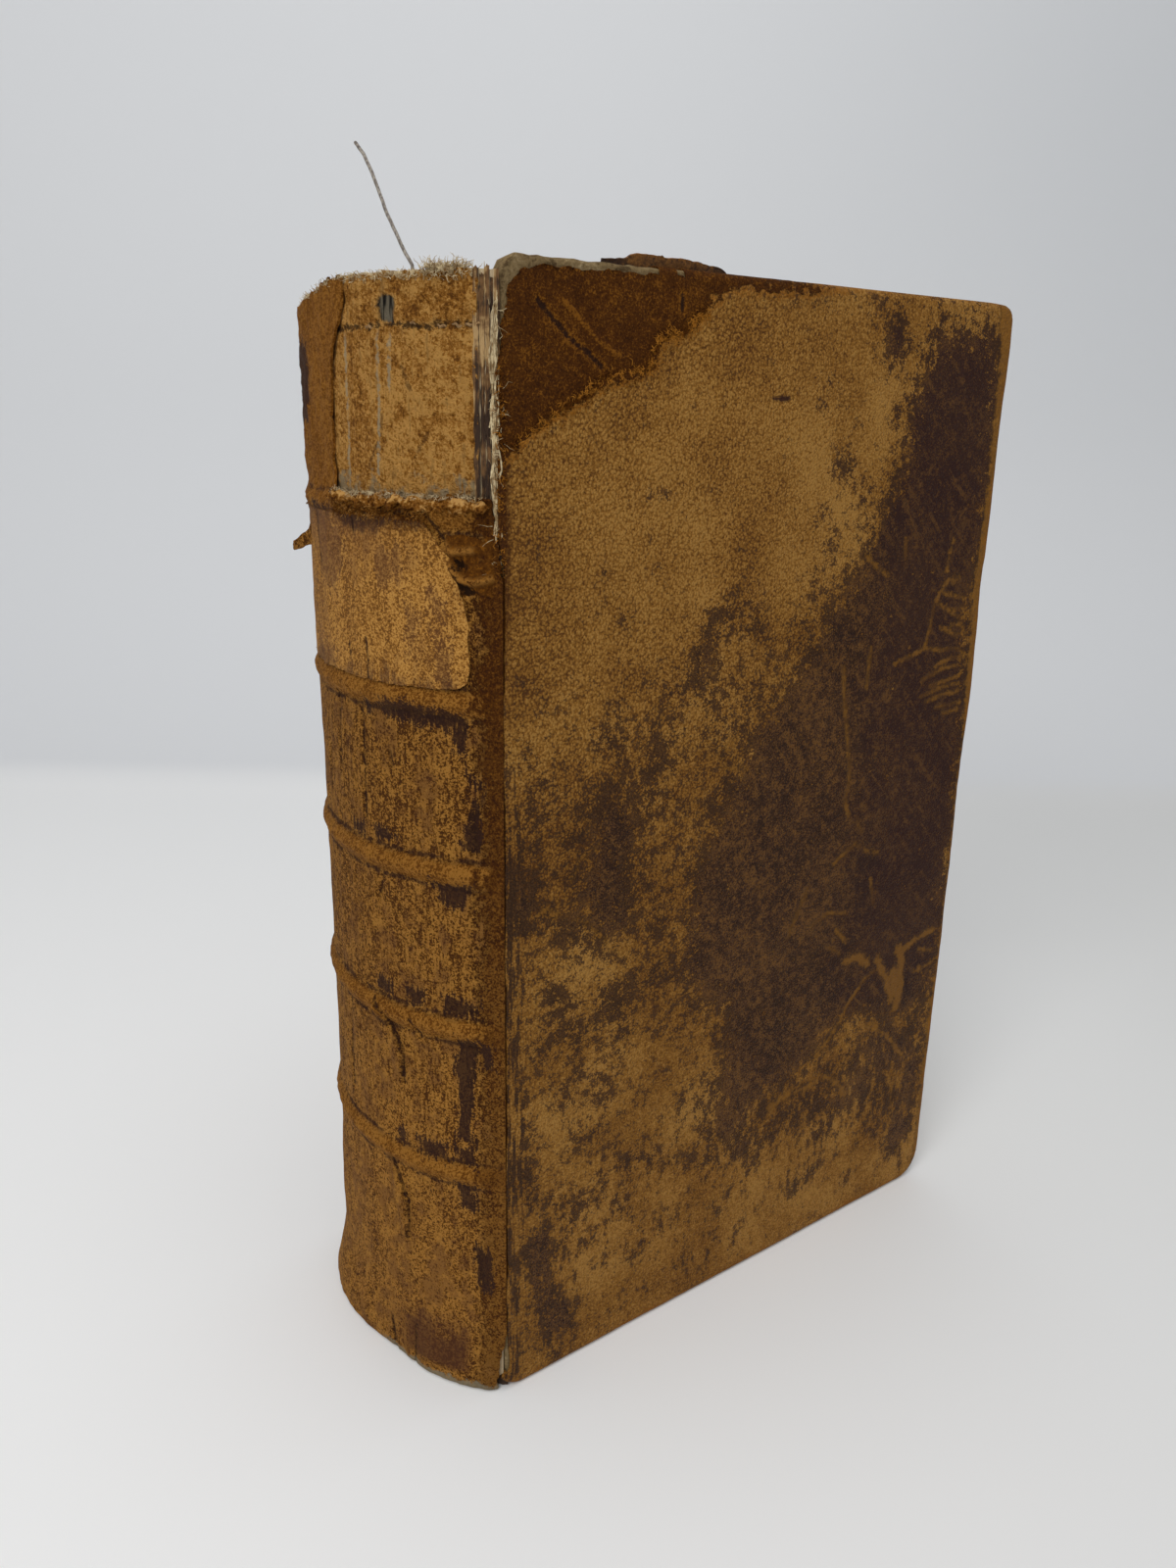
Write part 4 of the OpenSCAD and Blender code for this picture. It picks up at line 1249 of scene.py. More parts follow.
def shadeResidue(start, at):
    look = residueShape
    x, y, z = axes(at)
    fold = field(start, "fold")
    fine = grain(at, 1.2, 6, 0.76)
    grit = grain(at, 0.5, 3, 0.75)
    lumps = grain(at, 5, 6, 0.68, shift=0.6)
    tall = grain(at, 1.2, 5, 0.68, (1, 1, 0.14))
    top = above(z + swing(lumps, 6), 216.5, 219.5)
    left = above(y + swing(lumps, 10), -19, -9)
    wisp = grain(at, 1.3, 5, 0.7, (0.35, 0.35, 1), 0.8, (0.5, 0, 0))
    # orange fibre and glue, duller at the top and towards the far side
    light = 0.74 + swing(lumps, 1.7) + swing(fine, 1.5) + swing(grit, 2.6)
    light = light + swing(wisp, 1.6) + swing(tall, 1.2)
    light = light - most(top * 0.14, left * 0.14) + below(fold, 0.2, 1) * 0.1
    colour = tones(light, *look["tones"])
    colour = tint(above(tall + swing(lumps, 0.5), 0.58, 0.68) * 0.4, colour, look["streakTone"])
    # grey remains, marks, section folds, and the kettle stitch in its groove, painted dark as thread and as
    # shade in the groove
    grey = below(z + swing(lumps, 22), 191.4, 193.6) * above(tall, 0.4, 0.52)
    colour = tint(grey * 0.75, colour, look["greyTone"])
    mark = below(field(start, "mark") + swing(fine, 2), 0.1, 0.5)
    colour = tint(mark * 0.6, colour, look["markTone"])
    folds = below(fold + swing(fine, 2.4), 0.16, 0.42) * below(z, 215, 219)
    colour = tint(folds * 0.75, colour, look["foldTone"])
    stitch = below(field(start, "kettle") + swing(fine, 4), 0.2, 0.6) * above(lumps, 0.34, 0.46)
    colour = tint(stitch * 0.85, colour, look["stitchAndGrooveShadeTone"])
    # the hole through to the pages, painted dark between them as shade, and the shade under the leather's
    # edge
    hole = below(field(start, "hole") + swing(fine, 2), -0.5, 0.3)
    pages = grain(at, 0.6, 2, 0.5, (1, 1, 0.08))
    inHole = tint(above(pages, 0.42, 0.56), look["holeShadowTone"], look["pageTone"])
    colour = tint(hole, colour, inHole)
    shadow = below(field(start, "rim") + swing(fine, 1.5), 0.0, 0.6)
    colour = tint(shadow * 0.7, colour, look["shadowTone"])
    return {"Base Color": colour, "Normal": bump(fine * 1.4 + grit * 0.6 + wisp * 1.4 + lumps, 1.2, 1.0)}


residueFinish = material("glueAndSuede", shadeResidue, Roughness=0.92, Specular_IOR_Level=0.12)


def makeResidue(look):
    wide = (look["to"] - look["from"]) * perDegree
    tall = headZ + 1.5 - look["low"]
    sheet, share = gridSheet("spineResidue", wide / look["cell"], tall / look["cell"])
    flat = share * [wide, tall] + [look["from"] * perDegree, look["low"]]

    def tear(points):
        return points[:, 1] - headZ + 0.3 + 0.8 * cloud(points, 1.5, 3, 8.8)

    flat, outside = snapToEdge(flat, tear, look["cell"])
    a, z = flat.T
    hole = outlineDistance(flat, arc(look["hole"]))
    kettle = np.abs(z - look["kettle"] - 0.5 * cloud(flat, 8, 2, 1.9))
    fold = strokesOnSpine(flat, look["folds"])
    wrinkle = cloud(np.column_stack([a * 0.25, z]), 1.6, 3, 4.4)
    wrinkle *= ease(z, look["kettle"] - 1, look["kettle"] + 2)
    slanted = cloud(np.column_stack([a * 0.9 + z * 0.5, z * 0.45 - a * 0.3]), 2.6, 3, 7.1)
    ridges = np.maximum(0.14 - np.abs(slanted), 0) / 0.14
    lift = 0.4 * wrinkle + 0.2 * cloud(flat, 2.4, 4, 5.9) + 0.18 * cloud(flat, 7, 2)
    lift += 0.32 * ridges * ease(-a, 9, 17)
    lift -= 0.12 * bell(fold, 0.5) + 0.4 * bell(kettle, 0.5)
    lift = np.maximum(lift - 0.5 * (1 - ease(hole, -0.8, 0.4)), -0.28)
    writePoints(sheet, onSpine(a / perDegree, z, spineR - 0.5 + lift))
    paintFields(sheet, hole=hole, kettle=kettle, fold=fold, mark=strokesOnSpine(flat, look["marks"]),
                rim=-outlineDistance(flat, arc(spineWear["loss"])))
    dropPoints(sheet, outside)
    finishSheet(sheet, (-1, 0, 0), look["thickness"], residueFinish)
    place(sheet, "book_block", "calf")


makeResidue(residueShape)

# Frayed fibres: where the hairs stand, how they lean and the slot they belong to
straw = {"dark": (0.27, 0.17, 0.07), "pale": (0.6, 0.48, 0.28)}
fuzz = {
    "headFuzz": {
        "count": 1300, "angle": (-42, 44), "z": (headZ - 1.4, headZ - 0.3), "inset": (-0.1, 1.8), "sag": 1,
        "out": (-0.3, 0.7), "up": (-0.1, 0.9), "length": 1.3, "wander": 0.6, "radius": 0.08, "seed": 11,
        "slot": "endband", "nodes": [],
    },
    "headTuft": {
        "count": 420, "angle": (-39, -30), "z": (headZ - 0.6, headZ + 0.5), "inset": (0.2, 2.6), "sag": 0,
        "out": (-0.4, 0.6), "up": (0.1, 1), "length": 2.2, "wander": 0.8, "radius": 0.08, "seed": 12,
        "slot": "endband", "nodes": ["head_endband"],
    },
    "lipFuzz": {
        "count": 700, "angle": (-43, -3), "z": (bandZ[4] + 2.4, bandZ[4] + 3.4), "inset": (-1.9, -0.2),
        "sag": 0, "out": (0, 0.8), "up": (0.1, 1), "length": 1.0, "wander": 0.6, "radius": 0.06, "seed": 13,
        "slot": "cord", "nodes": [],
    },
    "splitFuzz": {
        "count": 90, "angle": (-46, -43.5), "z": (178, 222), "inset": (-0.1, 0.9), "sag": 0,
        "out": (0, 0.4), "up": (-1.4, 1.4), "length": 2.6, "wander": 0.4, "radius": 0.06, "seed": 14,
        "slot": "cord", "nodes": [],
    },
}


def shadeStraw(start, at):
    fine = grain(at, 1.2, 3, 0.6)
    colour = tint(above(fine, 0.4, 0.6), straw["dark"], straw["pale"])
    return {"Base Color": colour, "Normal": bump(fine, 0.1)}


strawFinish = material("strawFibre", shadeStraw, Roughness=0.9)


def fibreLines(look):  # short bent hairs standing on the spine
    rng = random.Random(look["seed"])
    lines = []
    for hair in range(look["count"]):
        angle = rng.uniform(*look["angle"])
        z = rng.uniform(*look["z"]) - look["sag"] * float(headSag(angle))
        spot = onSpine(angle, [z], spineR - rng.uniform(*look["inset"]))[0]
        out = np.array([-math.cos(math.radians(angle)), math.sin(math.radians(angle)), 0])
        aim = out * rng.uniform(*look["out"])
        aim = aim + [rng.gauss(0, 0.5), rng.gauss(0, 0.5), rng.uniform(*look["up"])]
        length = look["length"] * rng.uniform(0.4, 1.3)
        line = [spot]
        for step in range(4):
            aim = aim / np.linalg.norm(aim) + [rng.gauss(0, look["wander"]) for axis in range(3)]
            line.append(line[-1] + aim / np.linalg.norm(aim) * length / 4)
        lines.append(line)
    return lines


def fibrePiece(name, lines, radius, finish, slot, *nodes):
    piece = meshTube(name, lines, radius)
    smooth(piece, 80)
    wear(piece, finish)
    place(piece, "book_block", slot, *nodes)


for name, look in fuzz.items():
    fibrePiece(name, fibreLines(look), look["radius"], strawFinish, look["slot"], *look["nodes"])

# Frayed rope of fibre down the split joint
rope = {
    "count": 38, "angle": -44.8, "spread": 0.6, "low": 179, "high": 224, "step": 1.5, "radius": 0.17,
    "shortest": 14, "run": (10, 24), "inset": (-0.2, 0.6), "middle": 0.2,
    "turn": 0.22, "sway": 0.14, "pull": 0.2, "seed": 15,
}


def makeRope(look):
    rng = random.Random(look["seed"])
    lines = []
    for strand in range(look["count"]):
        low = rng.uniform(look["low"], look["high"] - look["shortest"])
        heights = np.arange(low, min(low + rng.uniform(*look["run"]), look["high"]), look["step"])
        angle, radius = look["angle"] + rng.gauss(0, look["spread"]), spineR - rng.uniform(*look["inset"])
        line = []
        for z in heights:
            angle += rng.gauss(0, look["turn"]) + (look["angle"] - angle) * look["pull"]
            radius += rng.gauss(0, look["sway"]) + (spineR - look["middle"] - radius) * look["pull"]
            line.append(onSpine(angle, [z], radius)[0])
        lines.append(line)
    fibrePiece("jointRope", lines, look["radius"], strawFinish, "cord")


makeRope(rope)

# Head kettle stitch: what shows of it is loops and knots along the groove
knots = {
    "angles": (-41.2, -39.4, -36.8, -33.5, -27, -15), "radius": 0.3, "reach": (0.5, 1.3), "offLine": 0.3,
    "uneven": 0.25, "sunk": 0.6, "seed": 21, "dark": (0.17, 0.085, 0.025), "pale": (0.36, 0.22, 0.09),
}


def shadeWaxed(start, at):
    fine = grain(at, 0.6, 3, 0.7)
    return {"Base Color": tint(above(fine, 0.36, 0.64), knots["dark"], knots["pale"])}


def makeKnots(look):
    rng = random.Random(look["seed"])
    lines = []
    for angle in look["angles"]:
        reach = rng.uniform(*look["reach"])
        z = residueShape["kettle"] + rng.uniform(-look["offLine"], look["offLine"])
        turns = [(-reach, -0.4), (-reach / 2, 0.2), (0, 0.35), (reach / 2, 0.2), (reach, -0.4)]
        line = []
        for step, lift in turns:
            height = z + rng.uniform(-look["uneven"], look["uneven"])
            line.append(onSpine(angle + step, [height], spineR - look["sunk"] + lift)[0])
        lines.append(line)
    finish = material("waxedThread", shadeWaxed, Roughness=0.8)
    fibrePiece("kettleStitch", lines, look["radius"], finish, "thread", "head_kettle_stitch")


makeKnots(knots)

# Paper linings that show in the split joint
lining = {
    "across": 4, "cell": 0.9, "thickness": 0.22,
    "tones": [(0.03, 0.012, 0.003), (0.14, 0.066, 0.019), (0.38, 0.24, 0.1)],
    "strips": [  # angle, width, low end, high end, depth under the skin
        (-41.0, 0.9, 189, 227.0, 0.25), (-42.2, 0.8, 184, 226.0, 0.7), (-43.3, 0.7, 181, 227.4, 0.35),
        (-44.2, 0.7, 178, 225.4, 0.9), (-45.2, 0.8, 177.5, 226.8, 0.5), (-44.7, 2.6, 0.6, 19, 1.5),
    ],
}


def shadeLining(start, at):
    tall = grain(at, 0.9, 4, 0.65, (1, 1, 0.06))
    lumps = grain(at, 5, 4, 0.62)
    z = axes(at)[2]
    # darker below 216 mm; much darker below 100 mm, where the strip deep in the tail slit is painted dark as
    # shade
    light = 0.48 + swing(tall, 2.8) + swing(lumps, 3) - below(z, 198, 216) * 0.22 - below(z, 20, 100) * 0.5
    colour = tones(light, *lining["tones"])
    return {"Base Color": colour, "Normal": bump(tall, 0.6)}


liningFinish = material("liningPaper", shadeLining, Roughness=0.92)


def makeStrip(number, angle, wide, low, high, depth):
    tall = high - low
    sheet, share = gridSheet(f"jointPaper{number}", lining["across"], tall / lining["cell"])
    across, z = share[:, 0], low + share[:, 1] * tall
    ragged = 0.3 * cloud(np.column_stack([across * 40, z]), 3.5, 3, number)
    a = angle * perDegree + (across - 0.5) * wide + ragged
    lift = 0.25 * cloud(np.column_stack([across * 3, z]), 7, 3, number + 0.5) + 0.2 * (across - 0.5)
    tornEnds = 0.8 * rowCloud(across * 9, 2, 2, number)
    writePoints(sheet, onSpine(a / perDegree, z + tornEnds, spineR - depth + lift))
    finishSheet(sheet, (-1, 0, 0), lining["thickness"], liningFinish)
    place(sheet, "book_block", "page_paper")


for number, strip in enumerate(lining["strips"], 1):
    makeStrip(number, *strip)

# Torn edge of leather rolled over the head band
lip = {
    "from": -44, "to": -1, "z": 189.3, "radius": 0.95, "off": 1.4, "around": 14, "along": 240,
    "thickness": 0.3, "middle": (0.2, 0.075, 0.009), "pale": (0.5, 0.27, 0.08),
}
lipFringe = {
    "count": 480, "angle": (-31, -4), "z": (186.6, 188.6), "inset": (-2.2, -1.1), "sag": 0,
    "out": (-0.2, 0.5), "up": (-1.2, -0.1), "length": 1.5, "wander": 0.5, "radius": 0.09, "seed": 16,
}


def shadeLip(start, at):
    z = axes(at)[2]
    fine = grain(at, 0.9, 5, 0.75)
    lumps = grain(at, 4, 5, 0.65)
    # the top of the roll is painted lighter: painted highlight
    light = 0.42 + swing(fine, 3) + swing(lumps, 2) + above(z, lip["z"] - 0.2, lip["z"] + 1) * 0.3
    colour = tones(light, spineCalf["rust"], lip["middle"], lip["pale"])
    return {"Base Color": colour, "Normal": bump(fine + lumps * 0.5, 0.5)}


lipFinish = material("tornLip", shadeLip, Roughness=0.9, Specular_IOR_Level=0.08)


def makeLip(look):
    sheet, share = gridSheet("headLip", look["along"], look["around"])
    angle = look["from"] + share[:, 0] * (look["to"] - look["from"])
    turn = (share[:, 1] * 1.3 - 0.15) * math.pi * 1.4 - 0.2 * math.pi
    ends = ease(share[:, 0], 0, 0.04) * (1 - 0.5 * ease(share[:, 0], 0.9, 1))
    rough = cloud(np.column_stack([angle * perDegree, turn * 1.2, turn * 0]), 1.5, 4, 2.4)
    radius = look["radius"] * ends * (1 + 0.5 * rowCloud(angle, 4, 3, 3.1) + 0.95 * rough)
    z = look["z"] + 0.7 * rowCloud(angle, 9, 2, 5.1) + radius * np.cos(turn)
    writePoints(sheet, onSpine(angle, z, spineR + look["off"] + radius * np.sin(turn)))
    finishSheet(sheet, (-1, 0, 0), look["thickness"], lipFinish, angle=80)
    place(sheet, "book_block", "calf")


makeLip(lip)
fibrePiece("lipFringe", fibreLines(lipFringe), lipFringe["radius"], lipFinish, "calf")

# Small pocket of torn leather at the label's upper corner
pocket = {
    "angle": (-45.4, -33), "z": (172.8, 185.2), "cell": 0.32, "thickness": 0.3,
    "rims": [
        [(-33.4, 183), (-35.4, 181.4), (-37.6, 181.6), (-40, 181.8)],
        [(-35.2, 179), (-37.2, 176.8), (-40, 176.2), (-44.2, 177)],
    ],
    "shadedHollows": [
        [(-36, 180.2), (-38.2, 180), (-39, 178.8), (-37.4, 178), (-36.2, 178.8)],
        [(-35, 178.4), (-36.4, 175.2), (-38.8, 173.6), (-41.4, 174.6), (-39.4, 175.5), (-37.2, 176.4)],
    ],
    # tones: the rim's is a painted highlight, the hollow's a painted shadow
    "middle": (0.09, 0.03, 0.003), "rimTone": (0.36, 0.16, 0.03), "hollowShadowTone": (0.009, 0.004, 0.002),
}


def shadePocket(start, at):
    fine = grain(at, 0.8, 5, 0.75)
    # painted highlight on the lit rims and painted shadow in the hollows under them
    rim = below(field(start, "rim") + swing(fine, 4), 0.3, 1.1)
    hollow = below(field(start, "hollow") + swing(fine, 3), -0.5, 0.4)
    colour = tones(0.5 + swing(fine, 3), spineCalf["rust"], pocket["middle"], spineCalf["orange"])
    colour = tint(rim * above(fine, 0.38, 0.56) * 0.85, colour, pocket["rimTone"])
    colour = tint(hollow * 0.9, colour, pocket["hollowShadowTone"])
    return {"Base Color": colour, "Normal": bump(fine, 0.5)}


def makePocket(look):
    (first, last), (low, high) = look["angle"], look["z"]
    wide, tall = (last - first) * perDegree, high - low
    sheet, share = gridSheet("labelPocket", wide / look["cell"], tall / look["cell"])
    flat = share * [wide, tall] + [first * perDegree, low]
    rim = strokesOnSpine(flat, look["rims"])
    hollow = spotsOnSpine(flat, look["shadedHollows"])
    border = (np.minimum(share, 1 - share) * [wide, tall]).min(1)
    lift = 0.4 + 1.2 * bell(rim, 0.75) - 0.4 * (1 - ease(hollow, -0.9, 0.2)) + 0.45 * cloud(flat, 1.6, 4, 6.6)
    lift = lift * ease(border, 0, 2.2) - 0.7 * (1 - ease(border, 0, 1.6))
    writePoints(sheet, onSpine(flat[:, 0] / perDegree, flat[:, 1], spineR + lift))
    paintFields(sheet, rim=rim, hollow=hollow)
    finish = material("pocketSuede", shadePocket, Roughness=0.9, Specular_IOR_Level=0.08)
    finishSheet(sheet, (-1, 0, 0), look["thickness"], finish)
    place(sheet, "book_block", "calf")


makePocket(pocket)

# Torn curl of leather below the head band
bandCurl = {
    "angle": 19, "step": 0.9, "z": 181.2, "drop": -0.55, "wide": 3.8, "rise": 0.13, "length": 5.4,
    "across": 14, "up": 10, "off": 0.35, "rough": 0.3, "thickness": 0.5, "farOff": 20.0,
}


def makeCurl(look):
    sheet, share = gridSheet("bandCurl", look["across"], look["up"])
    along = share[:, 0] * look["length"]
    across = (share[:, 1] - 0.5) * look["wide"] * (1 - 0.5 * share[:, 0])
    rough = look["rough"] * cloud(share, 0.25, 3, look["wide"])
    radius = spineR + look["off"] + look["rise"] * along ** 2 + rough
    z = look["z"] + look["drop"] * along + across + rough
    writePoints(sheet, onSpine(look["angle"] + look["step"] * along, z, radius))
    far = np.full(len(along), look["farOff"])
    paintFields(sheet, bandDist=far, crack=far, blot=far)
    faceTowards(sheet, (-1, 0, 0))
    finishWith(sheet, "SOLIDIFY", thickness=look["thickness"] * mm, offset=0)
    finishWith(sheet, "SUBSURF", levels=1, render_levels=1)
    smooth(sheet)
    wear(sheet, spineFinish)
    place(sheet, "book_block", "calf")


makeCurl(bandCurl)
print("torn head panel made")

# Pages: one pressed block with sections that show at its edges
pageShape = {
    "leafCuts": 159, "upCuts": 12, "alongCuts": 40, "section": 3.3, "scallop": 0.35, "shoulder": 0.9,
    "hollow": 6, "stained": (0.4, 0.29, 0.16), "clean": (0.58, 0.46, 0.29),
    "leafLine": (0.24, 0.16, 0.08), "sectionLine": (0.2, 0.13, 0.065),
}


def shadePages(start, at):
    leaves = grain(at, 0.34, 3, 0.6, (0.02, 1, 0.02))
    groups = grain(at, 2.6, 2, 0.6, (0.02, 1, 0.02), 0.5)
    stains = grain(at, 28, 4, 0.6)
    colour = tint(above(stains, 0.36, 0.66), pageShape["stained"], pageShape["clean"])
    colour = tint(above(leaves, 0.5, 0.68) * 0.55, colour, pageShape["leafLine"])
    colour = tint(above(groups, 0.52, 0.66) * 0.35, colour, pageShape["sectionLine"])
    return {"Base Color": colour, "Normal": bump(leaves + groups * 0.5, 0.35)}


pageFinish = material("agedPages", shadePages, Roughness=0.9)


def cutAlong(piece, axis, cuts):  # cuts every edge that runs along one axis
    ends = np.zeros(len(piece.data.edges) * 2, int)
    piece.data.edges.foreach_get("vertices", ends)
    points = readPoints(piece)
    runs = np.abs(points[ends[0::2]] - points[ends[1::2]])
    pickPoints(piece, np.zeros(len(points), bool))
    bpy.ops.mesh.select_mode(type="EDGE")
    bpy.ops.object.mode_set(mode="OBJECT")
    piece.data.edges.foreach_set("select", runs.argmax(1) == axis)
    bpy.ops.object.mode_set(mode="EDIT")
    bpy.ops.mesh.subdivide(number_cuts=cuts)
    bpy.ops.object.mode_set(mode="OBJECT")


def makePages(look):
    clearSelection()
    bpy.ops.mesh.primitive_cube_add(size=1)
    block = bpy.context.object
    block.name = "pageBlock"
    for axis, cuts in enumerate((look["alongCuts"], look["leafCuts"], look["upCuts"])):
        cutAlong(block, axis, cuts)
    share = readPoints(block) * mm + 0.5
    halfPages = -flyleafHigh[1]
    backR = spineR - leatherT - fit
    across = 2 * share[:, 1] - 1
    outer = np.maximum(np.abs(across) - look["shoulder"], 0) / (1 - look["shoulder"])
    flare = blockHigh[1] - halfPages - fit
    y = np.sign(across) * (np.minimum(np.abs(across) / look["shoulder"], 1) * halfPages + outer * flare)
    foreX = flyleafHigh[0]
    hollow = look["hollow"]  # depth of the curve along the fore-edge
    hollowR = (halfPages ** 2 + hollow ** 2) / (2 * hollow)
    foreCurve = foreX - hollow + hollowR - np.sqrt(hollowR ** 2 - np.minimum(np.abs(y), halfPages) ** 2)
    foreCurve = np.where(outer > 0.001, jointX, foreCurve)
    backCurve = spineCx - np.sqrt(np.maximum(backR ** 2 - y ** 2, 0))
    x = backCurve + share[:, 0] * (foreCurve - backCurve)
    z = blockLow[2] + share[:, 2] * (headZ - blockLow[2])
    wave = np.abs(np.sin(math.pi * y / look["section"])) ** 0.5 - 1
    leafy = rowCloud(y, 1.1, 3, 2.2)
    ends = np.where(share[:, 2] > 0.999, 1, np.where(share[:, 2] < 0.001, -1, 0))
    z += ends * (look["scallop"] * wave + 0.18 * leafy)
    sagged = headSag(np.degrees(np.arcsin(np.clip(y / spineR, -1, 1)))) * (1 - ease(share[:, 0], 0, 0.2))
    z -= np.where(share[:, 2] > 0.9, sagged, 0)
    x += (share[:, 0] > 0.999) * (outer < 0.001) * (look["scallop"] * wave + 0.25 * leafy)
    writePoints(block, np.column_stack([x, y, z]))
    smooth(block, 35)
    wear(block, pageFinish)
    place(block, "book_block", "page_paper", "text_block")


makePages(pageShape)

# Flyleaves and pastedowns
endpaper = {
    "sheets": {
        "frontFlyleaf": ("book_block", "front_flyleaf"),
        "backFlyleaf": ("book_block", "back_flyleaf"),
        "frontPastedown": ("front_cover", "front_pastedown"),
        "backPastedown": ("back_cover", "back_pastedown"),
    },
    "across": 46, "up": 76, "thickness": 0.22, "frayed": 3,
    "stained": (0.51, 0.39, 0.23), "clean": (0.61, 0.49, 0.31),
    "foxing": (0.3, 0.17, 0.07), "edge": (0.26, 0.15, 0.06),
}


def shadeEndpaper(start, at):
    look = endpaper
    x, y, z = axes(at)
    stains = grain(at, 34, 5, 0.62)
    foxing = grain(at, 5, 3, 0.6, shift=0.8)
    fibre = grain(at, 0.8, 3, 0.65)
    edge = least(least(z - 3, coverH - 3 - z), backHigh[0] - 4 - x)
    colour = tint(above(stains, 0.36, 0.66), look["stained"], look["clean"])
    colour = tint(above(foxing, 0.66, 0.76) * 0.5, colour, look["foxing"])
    colour = tint(below(edge + swing(stains, 14), 2, 14) * 0.55, colour, look["edge"])
    return {"Base Color": colour, "Normal": bump(fibre, 0.12, 0.6)}


endpaperFinish = material("agedEndpaper", shadeEndpaper, Roughness=0.88)


def makeLeaf(name, body, node):
    look = endpaper
    low, high = nodeBox(node)
    span = (high - low)[[0, 2]]
    sheet, share = gridSheet(name, look["across"], look["up"])
    flat = share * span + low[[0, 2]]
    edge = (np.minimum(share, 1 - share) * span).min(1)
    inwards = (share - 0.5) * 0.01 * (1 - ease(edge, 0, look["frayed"]))[:, None]
    flat = flat - inwards * (20 + 30 * np.abs(cloud(flat, 6, 3, 1.2)))[:, None]
    pasted = "paste" in node
    face = high[1] if pasted == (high[1] < 0) else low[1]  # the side that shows when the cover is open
    writePoints(sheet, np.column_stack([flat[:, 0], face + 0.02 * cloud(flat, 18, 3), flat[:, 1]]))
    outward = -np.sign(face) if pasted else np.sign(face)
    finishSheet(sheet, (0, outward, 0), look["thickness"], endpaperFinish)
    place(sheet, body, "endpaper", node)


for leafName, (leafBody, leafNode) in endpaper["sheets"].items():
    makeLeaf(leafName, leafBody, leafNode)

# Leather that crosses the joints
jointShape = {
    "reach": 3.2, "depth": 0.5, "thickness": 0.3, "groove": 0.1, "across": 16, "cell": 2,
    "front": (15, 177), "back": (2, 226),  # low and high end
}


def shadeJoint(start, at):
    tall = grain(at, 1.2, 4, 0.65, (1, 1, 0.1))
    fine = grain(at, 0.8, 3, 0.7)
    light = 0.5 + swing(tall, 2) + swing(fine, 1.2)
    colour = tones(light, spineCalf["purple"], spineCalf["rust"], spineCalf["orange"])
    return {"Base Color": colour, "Normal": bump(fine + tall, 0.4)}


jointFinish = material("jointCalf", shadeJoint, Roughness=0.85, Specular_IOR_Level=0.08)


def makeJoint(name, side, ends):
    look = jointShape
    low, high = ends
    sheet, share = gridSheet(name, look["across"], (high - low) / look["cell"])
    s = (share[:, 0] - 0.5) * 2 * look["reach"]
    ragged = 0.6 * cloud(share * [3, 0], 1, 2, side) * (share[:, 1] > 0.99)
    z = low + share[:, 1] * (high - low) + ragged
    radius = spineR - look["depth"]
    angle = np.radians(spineEnd + np.minimum(s, 0) / perDegree)
    spineSide = spineCx - radius * math.cos(math.radians(spineEnd)) - jointX
    onBoard = jointX + s + spineSide * (1 - ease(s, -0.6, 0.6))
    x = np.where(s < 0, spineCx - radius * np.cos(angle), onBoard)
    y = np.where(s < 0, radius * np.sin(angle), halfT - look["depth"] - look["groove"] * ease(s, 0, 1))
    writePoints(sheet, np.column_stack([x, side * y, z]))
    finishSheet(sheet, (0, side, 0), look["thickness"], jointFinish)
    hinge = (jointX * mm, side * halfT * mm, 0)
    hinge[0] - 0.5 * mm
    hinge[0] + 0.5 * mm
    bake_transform(sheet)


makeJoint("frontJoint", -1, jointShape["front"])
makeJoint("backJoint", 1, jointShape["back"])

# CAD pieces that stay, with their own finish
hemp = {"dark": (0.22, 0.15, 0.075), "pale": (0.45, 0.34, 0.2)}


def shadeCord(start, at):
    twist = grain(at, 1.4, 3, 0.6)
    fine = grain(at, 0.5, 3, 0.7)
    colour = tint(above(twist, 0.38, 0.62), hemp["dark"], hemp["pale"])
    return {"Base Color": colour, "Normal": bump(fine + twist, 0.3)}


cordFinish = material("hempCord", shadeCord, Roughness=0.9)
keptNodes = {"tail_kettle_stitch": cordFinish, "tail_endband": cordFinish, "front_slips": cordFinish,
             "back_slips": cordFinish, "back_board": boardFinish}
keptNodes.update({f"sewing_cord_{number}": cordFinish for number in range(1, 6)})
for node, finish in keptNodes.items():
    wear(frame["nodes"][node], finish)
print("pages, leaves and joints made")

# Pale studio: a floor that sweeps up into a wall, one large soft lamp and even fill
studio = {
    "floor": (0.9, 0.9, 0.895), "dimFloor": (0.76, 0.76, 0.75), "wall": (0.76, 0.77, 0.785),
    "shaded": (0.67, 0.685, 0.705), "air": (0.97, 0.985, 1.0), "fill": 0.38,
    "across": 40, "along": 120, "length": 2600, "front": 1400, "halfWidth": 1500, "drop": 0.02,
    "wallStart": 340, "wallRound": 210,
    "key": 7.0, "keyAt": (-750, -520, 900), "keyAim": (0, 0, 110), "keySize": 700,
    "top": 1.6, "topAt": (-60, -80, 900), "topAim": (0, 0, 0), "topSize": 600,
}


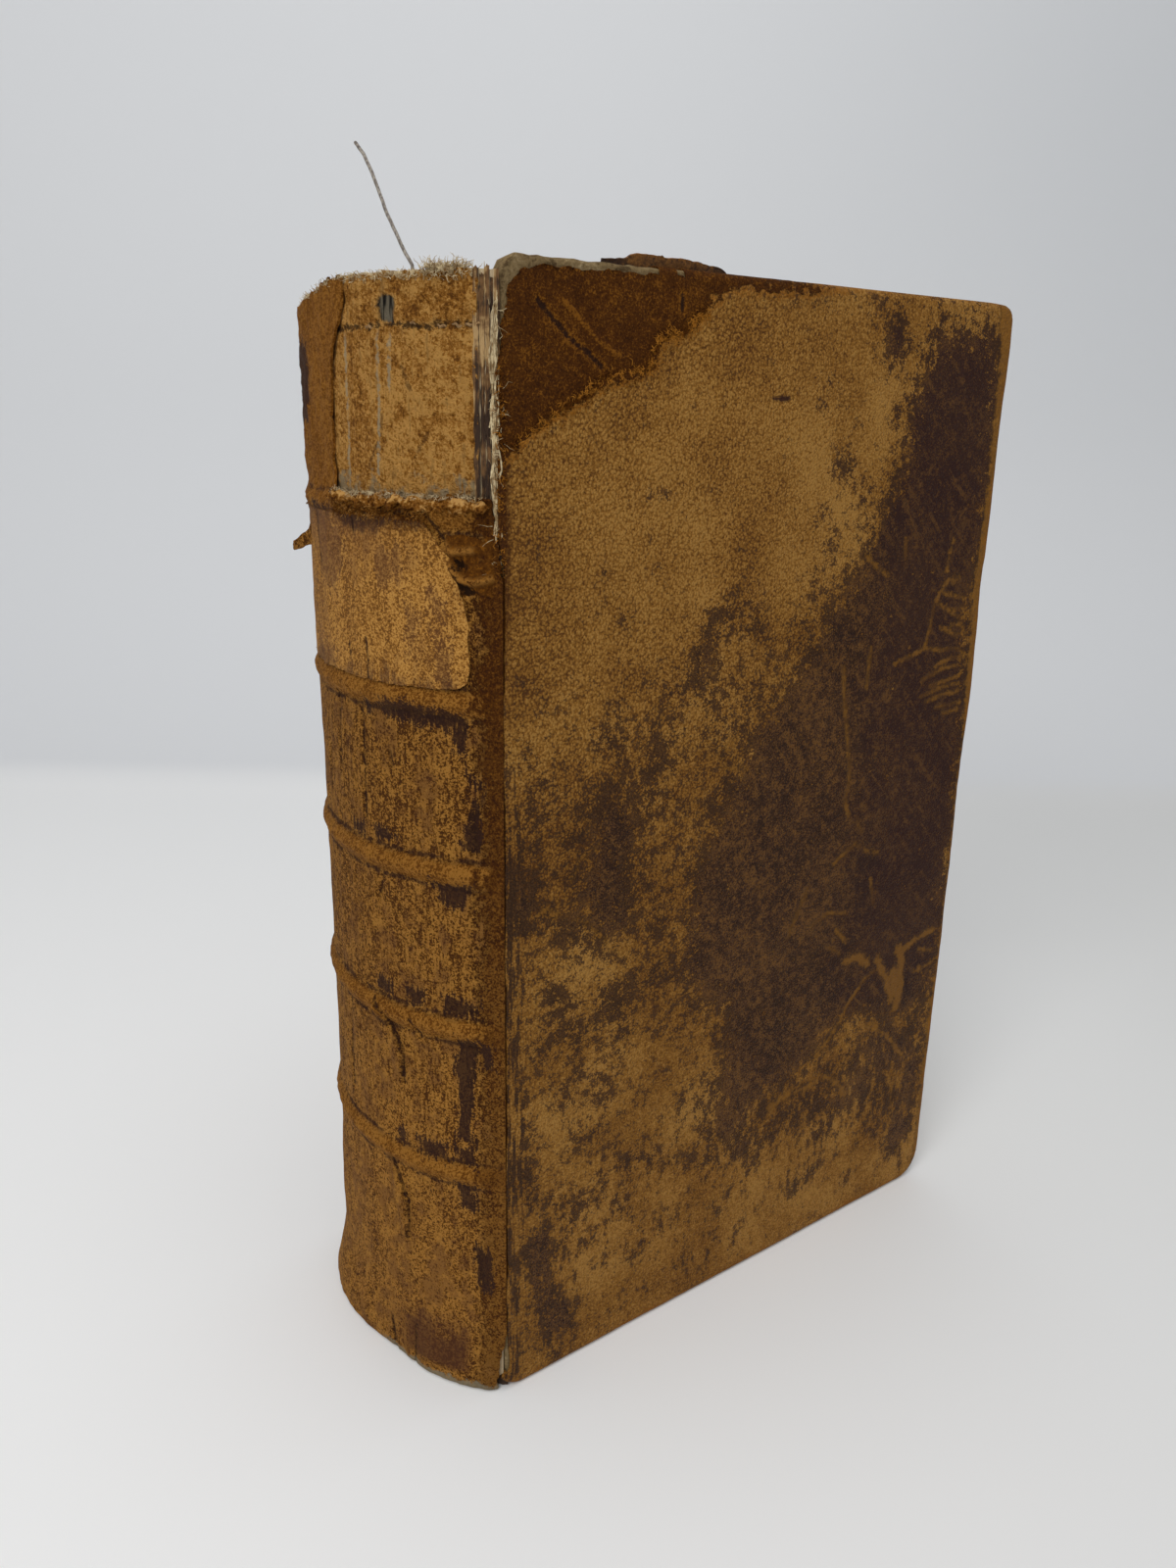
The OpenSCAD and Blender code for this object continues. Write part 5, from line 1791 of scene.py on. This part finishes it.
def shadeStudio(start, at):
    x, y, z = axes(at)
    turn = math.radians(cameraView["turn"])
    right = x * math.cos(turn) - y * math.sin(turn)
    onFloor = below(z, 0, 7)
    # painted shade: the wall darker to the right and higher up, the floor darker to the right
    colour = tint(above(right, -50, 420) * above(z, 60, 420), studio["wall"], studio["shaded"])
    ground = tint(above(right, -20, 260), studio["floor"], studio["dimFloor"])
    return {"Base Color": tint(onFloor, colour, ground)}


def makeStudio(look):
    sheet, share = gridSheet("studioSweep", look["across"], look["along"])
    along = share[:, 1] * look["length"] - look["front"]  # distance along the sweep, from below the book
    bend = np.clip((along - look["wallStart"]) / look["wallRound"], 0, math.pi / 2)
    flatPart = np.minimum(along, look["wallStart"])
    upPart = np.maximum(along - look["wallStart"] - look["wallRound"] * math.pi / 2, 0)
    back = flatPart + look["wallRound"] * np.sin(bend)
    up = look["wallRound"] * (1 - np.cos(bend)) + upPart
    side = (share[:, 0] - 0.5) * 2 * look["halfWidth"]
    turn = math.radians(cameraView["turn"])
    points = np.column_stack([back * math.sin(turn) + side * math.cos(turn),
                              back * math.cos(turn) - side * math.sin(turn), up - look["drop"]])
    writePoints(sheet, points)
    faceTowards(sheet, (0, 0, 1))
    smooth(sheet, 80)
    wear(sheet, material("studioPaper", shadeStudio, Roughness=0.9))


def softLamp(name, spot, aim, size, power):
    clearSelection()
    bpy.ops.object.light_add(type="AREA")
    lamp = bpy.context.object
    lamp.name = name
    lamp.data.shape = "DISK"
    lamp.data.size = size * mm
    lamp.data.energy = power
    direction = Vector(aim) - Vector(spot)
    lamp.rotation_euler = direction.to_track_quat("-Z", "Y").to_euler()
    lamp.location = [value * mm for value in spot]


def makeWorld(look):
    world = bpy.data.worlds.new("studioAir")
    bpy.context.scene.world = world
    world.use_nodes = True
    world.node_tree.nodes.clear()
    start = Wire(world.node_tree)
    air = start.node("ShaderNodeBackground", None, {"Color": look["air"], "Strength": look["fill"]})
    start.node("ShaderNodeOutputWorld", None, {"Surface": air})


makeStudio(studio)
makeWorld(studio)
for lamp in ("key", "top"):
    softLamp(lamp + "Lamp", studio[lamp + "At"], studio[lamp + "Aim"], studio[lamp + "Size"], studio[lamp])
bpy.context.scene.view_settings.view_transform = "Standard"
print("studio made")
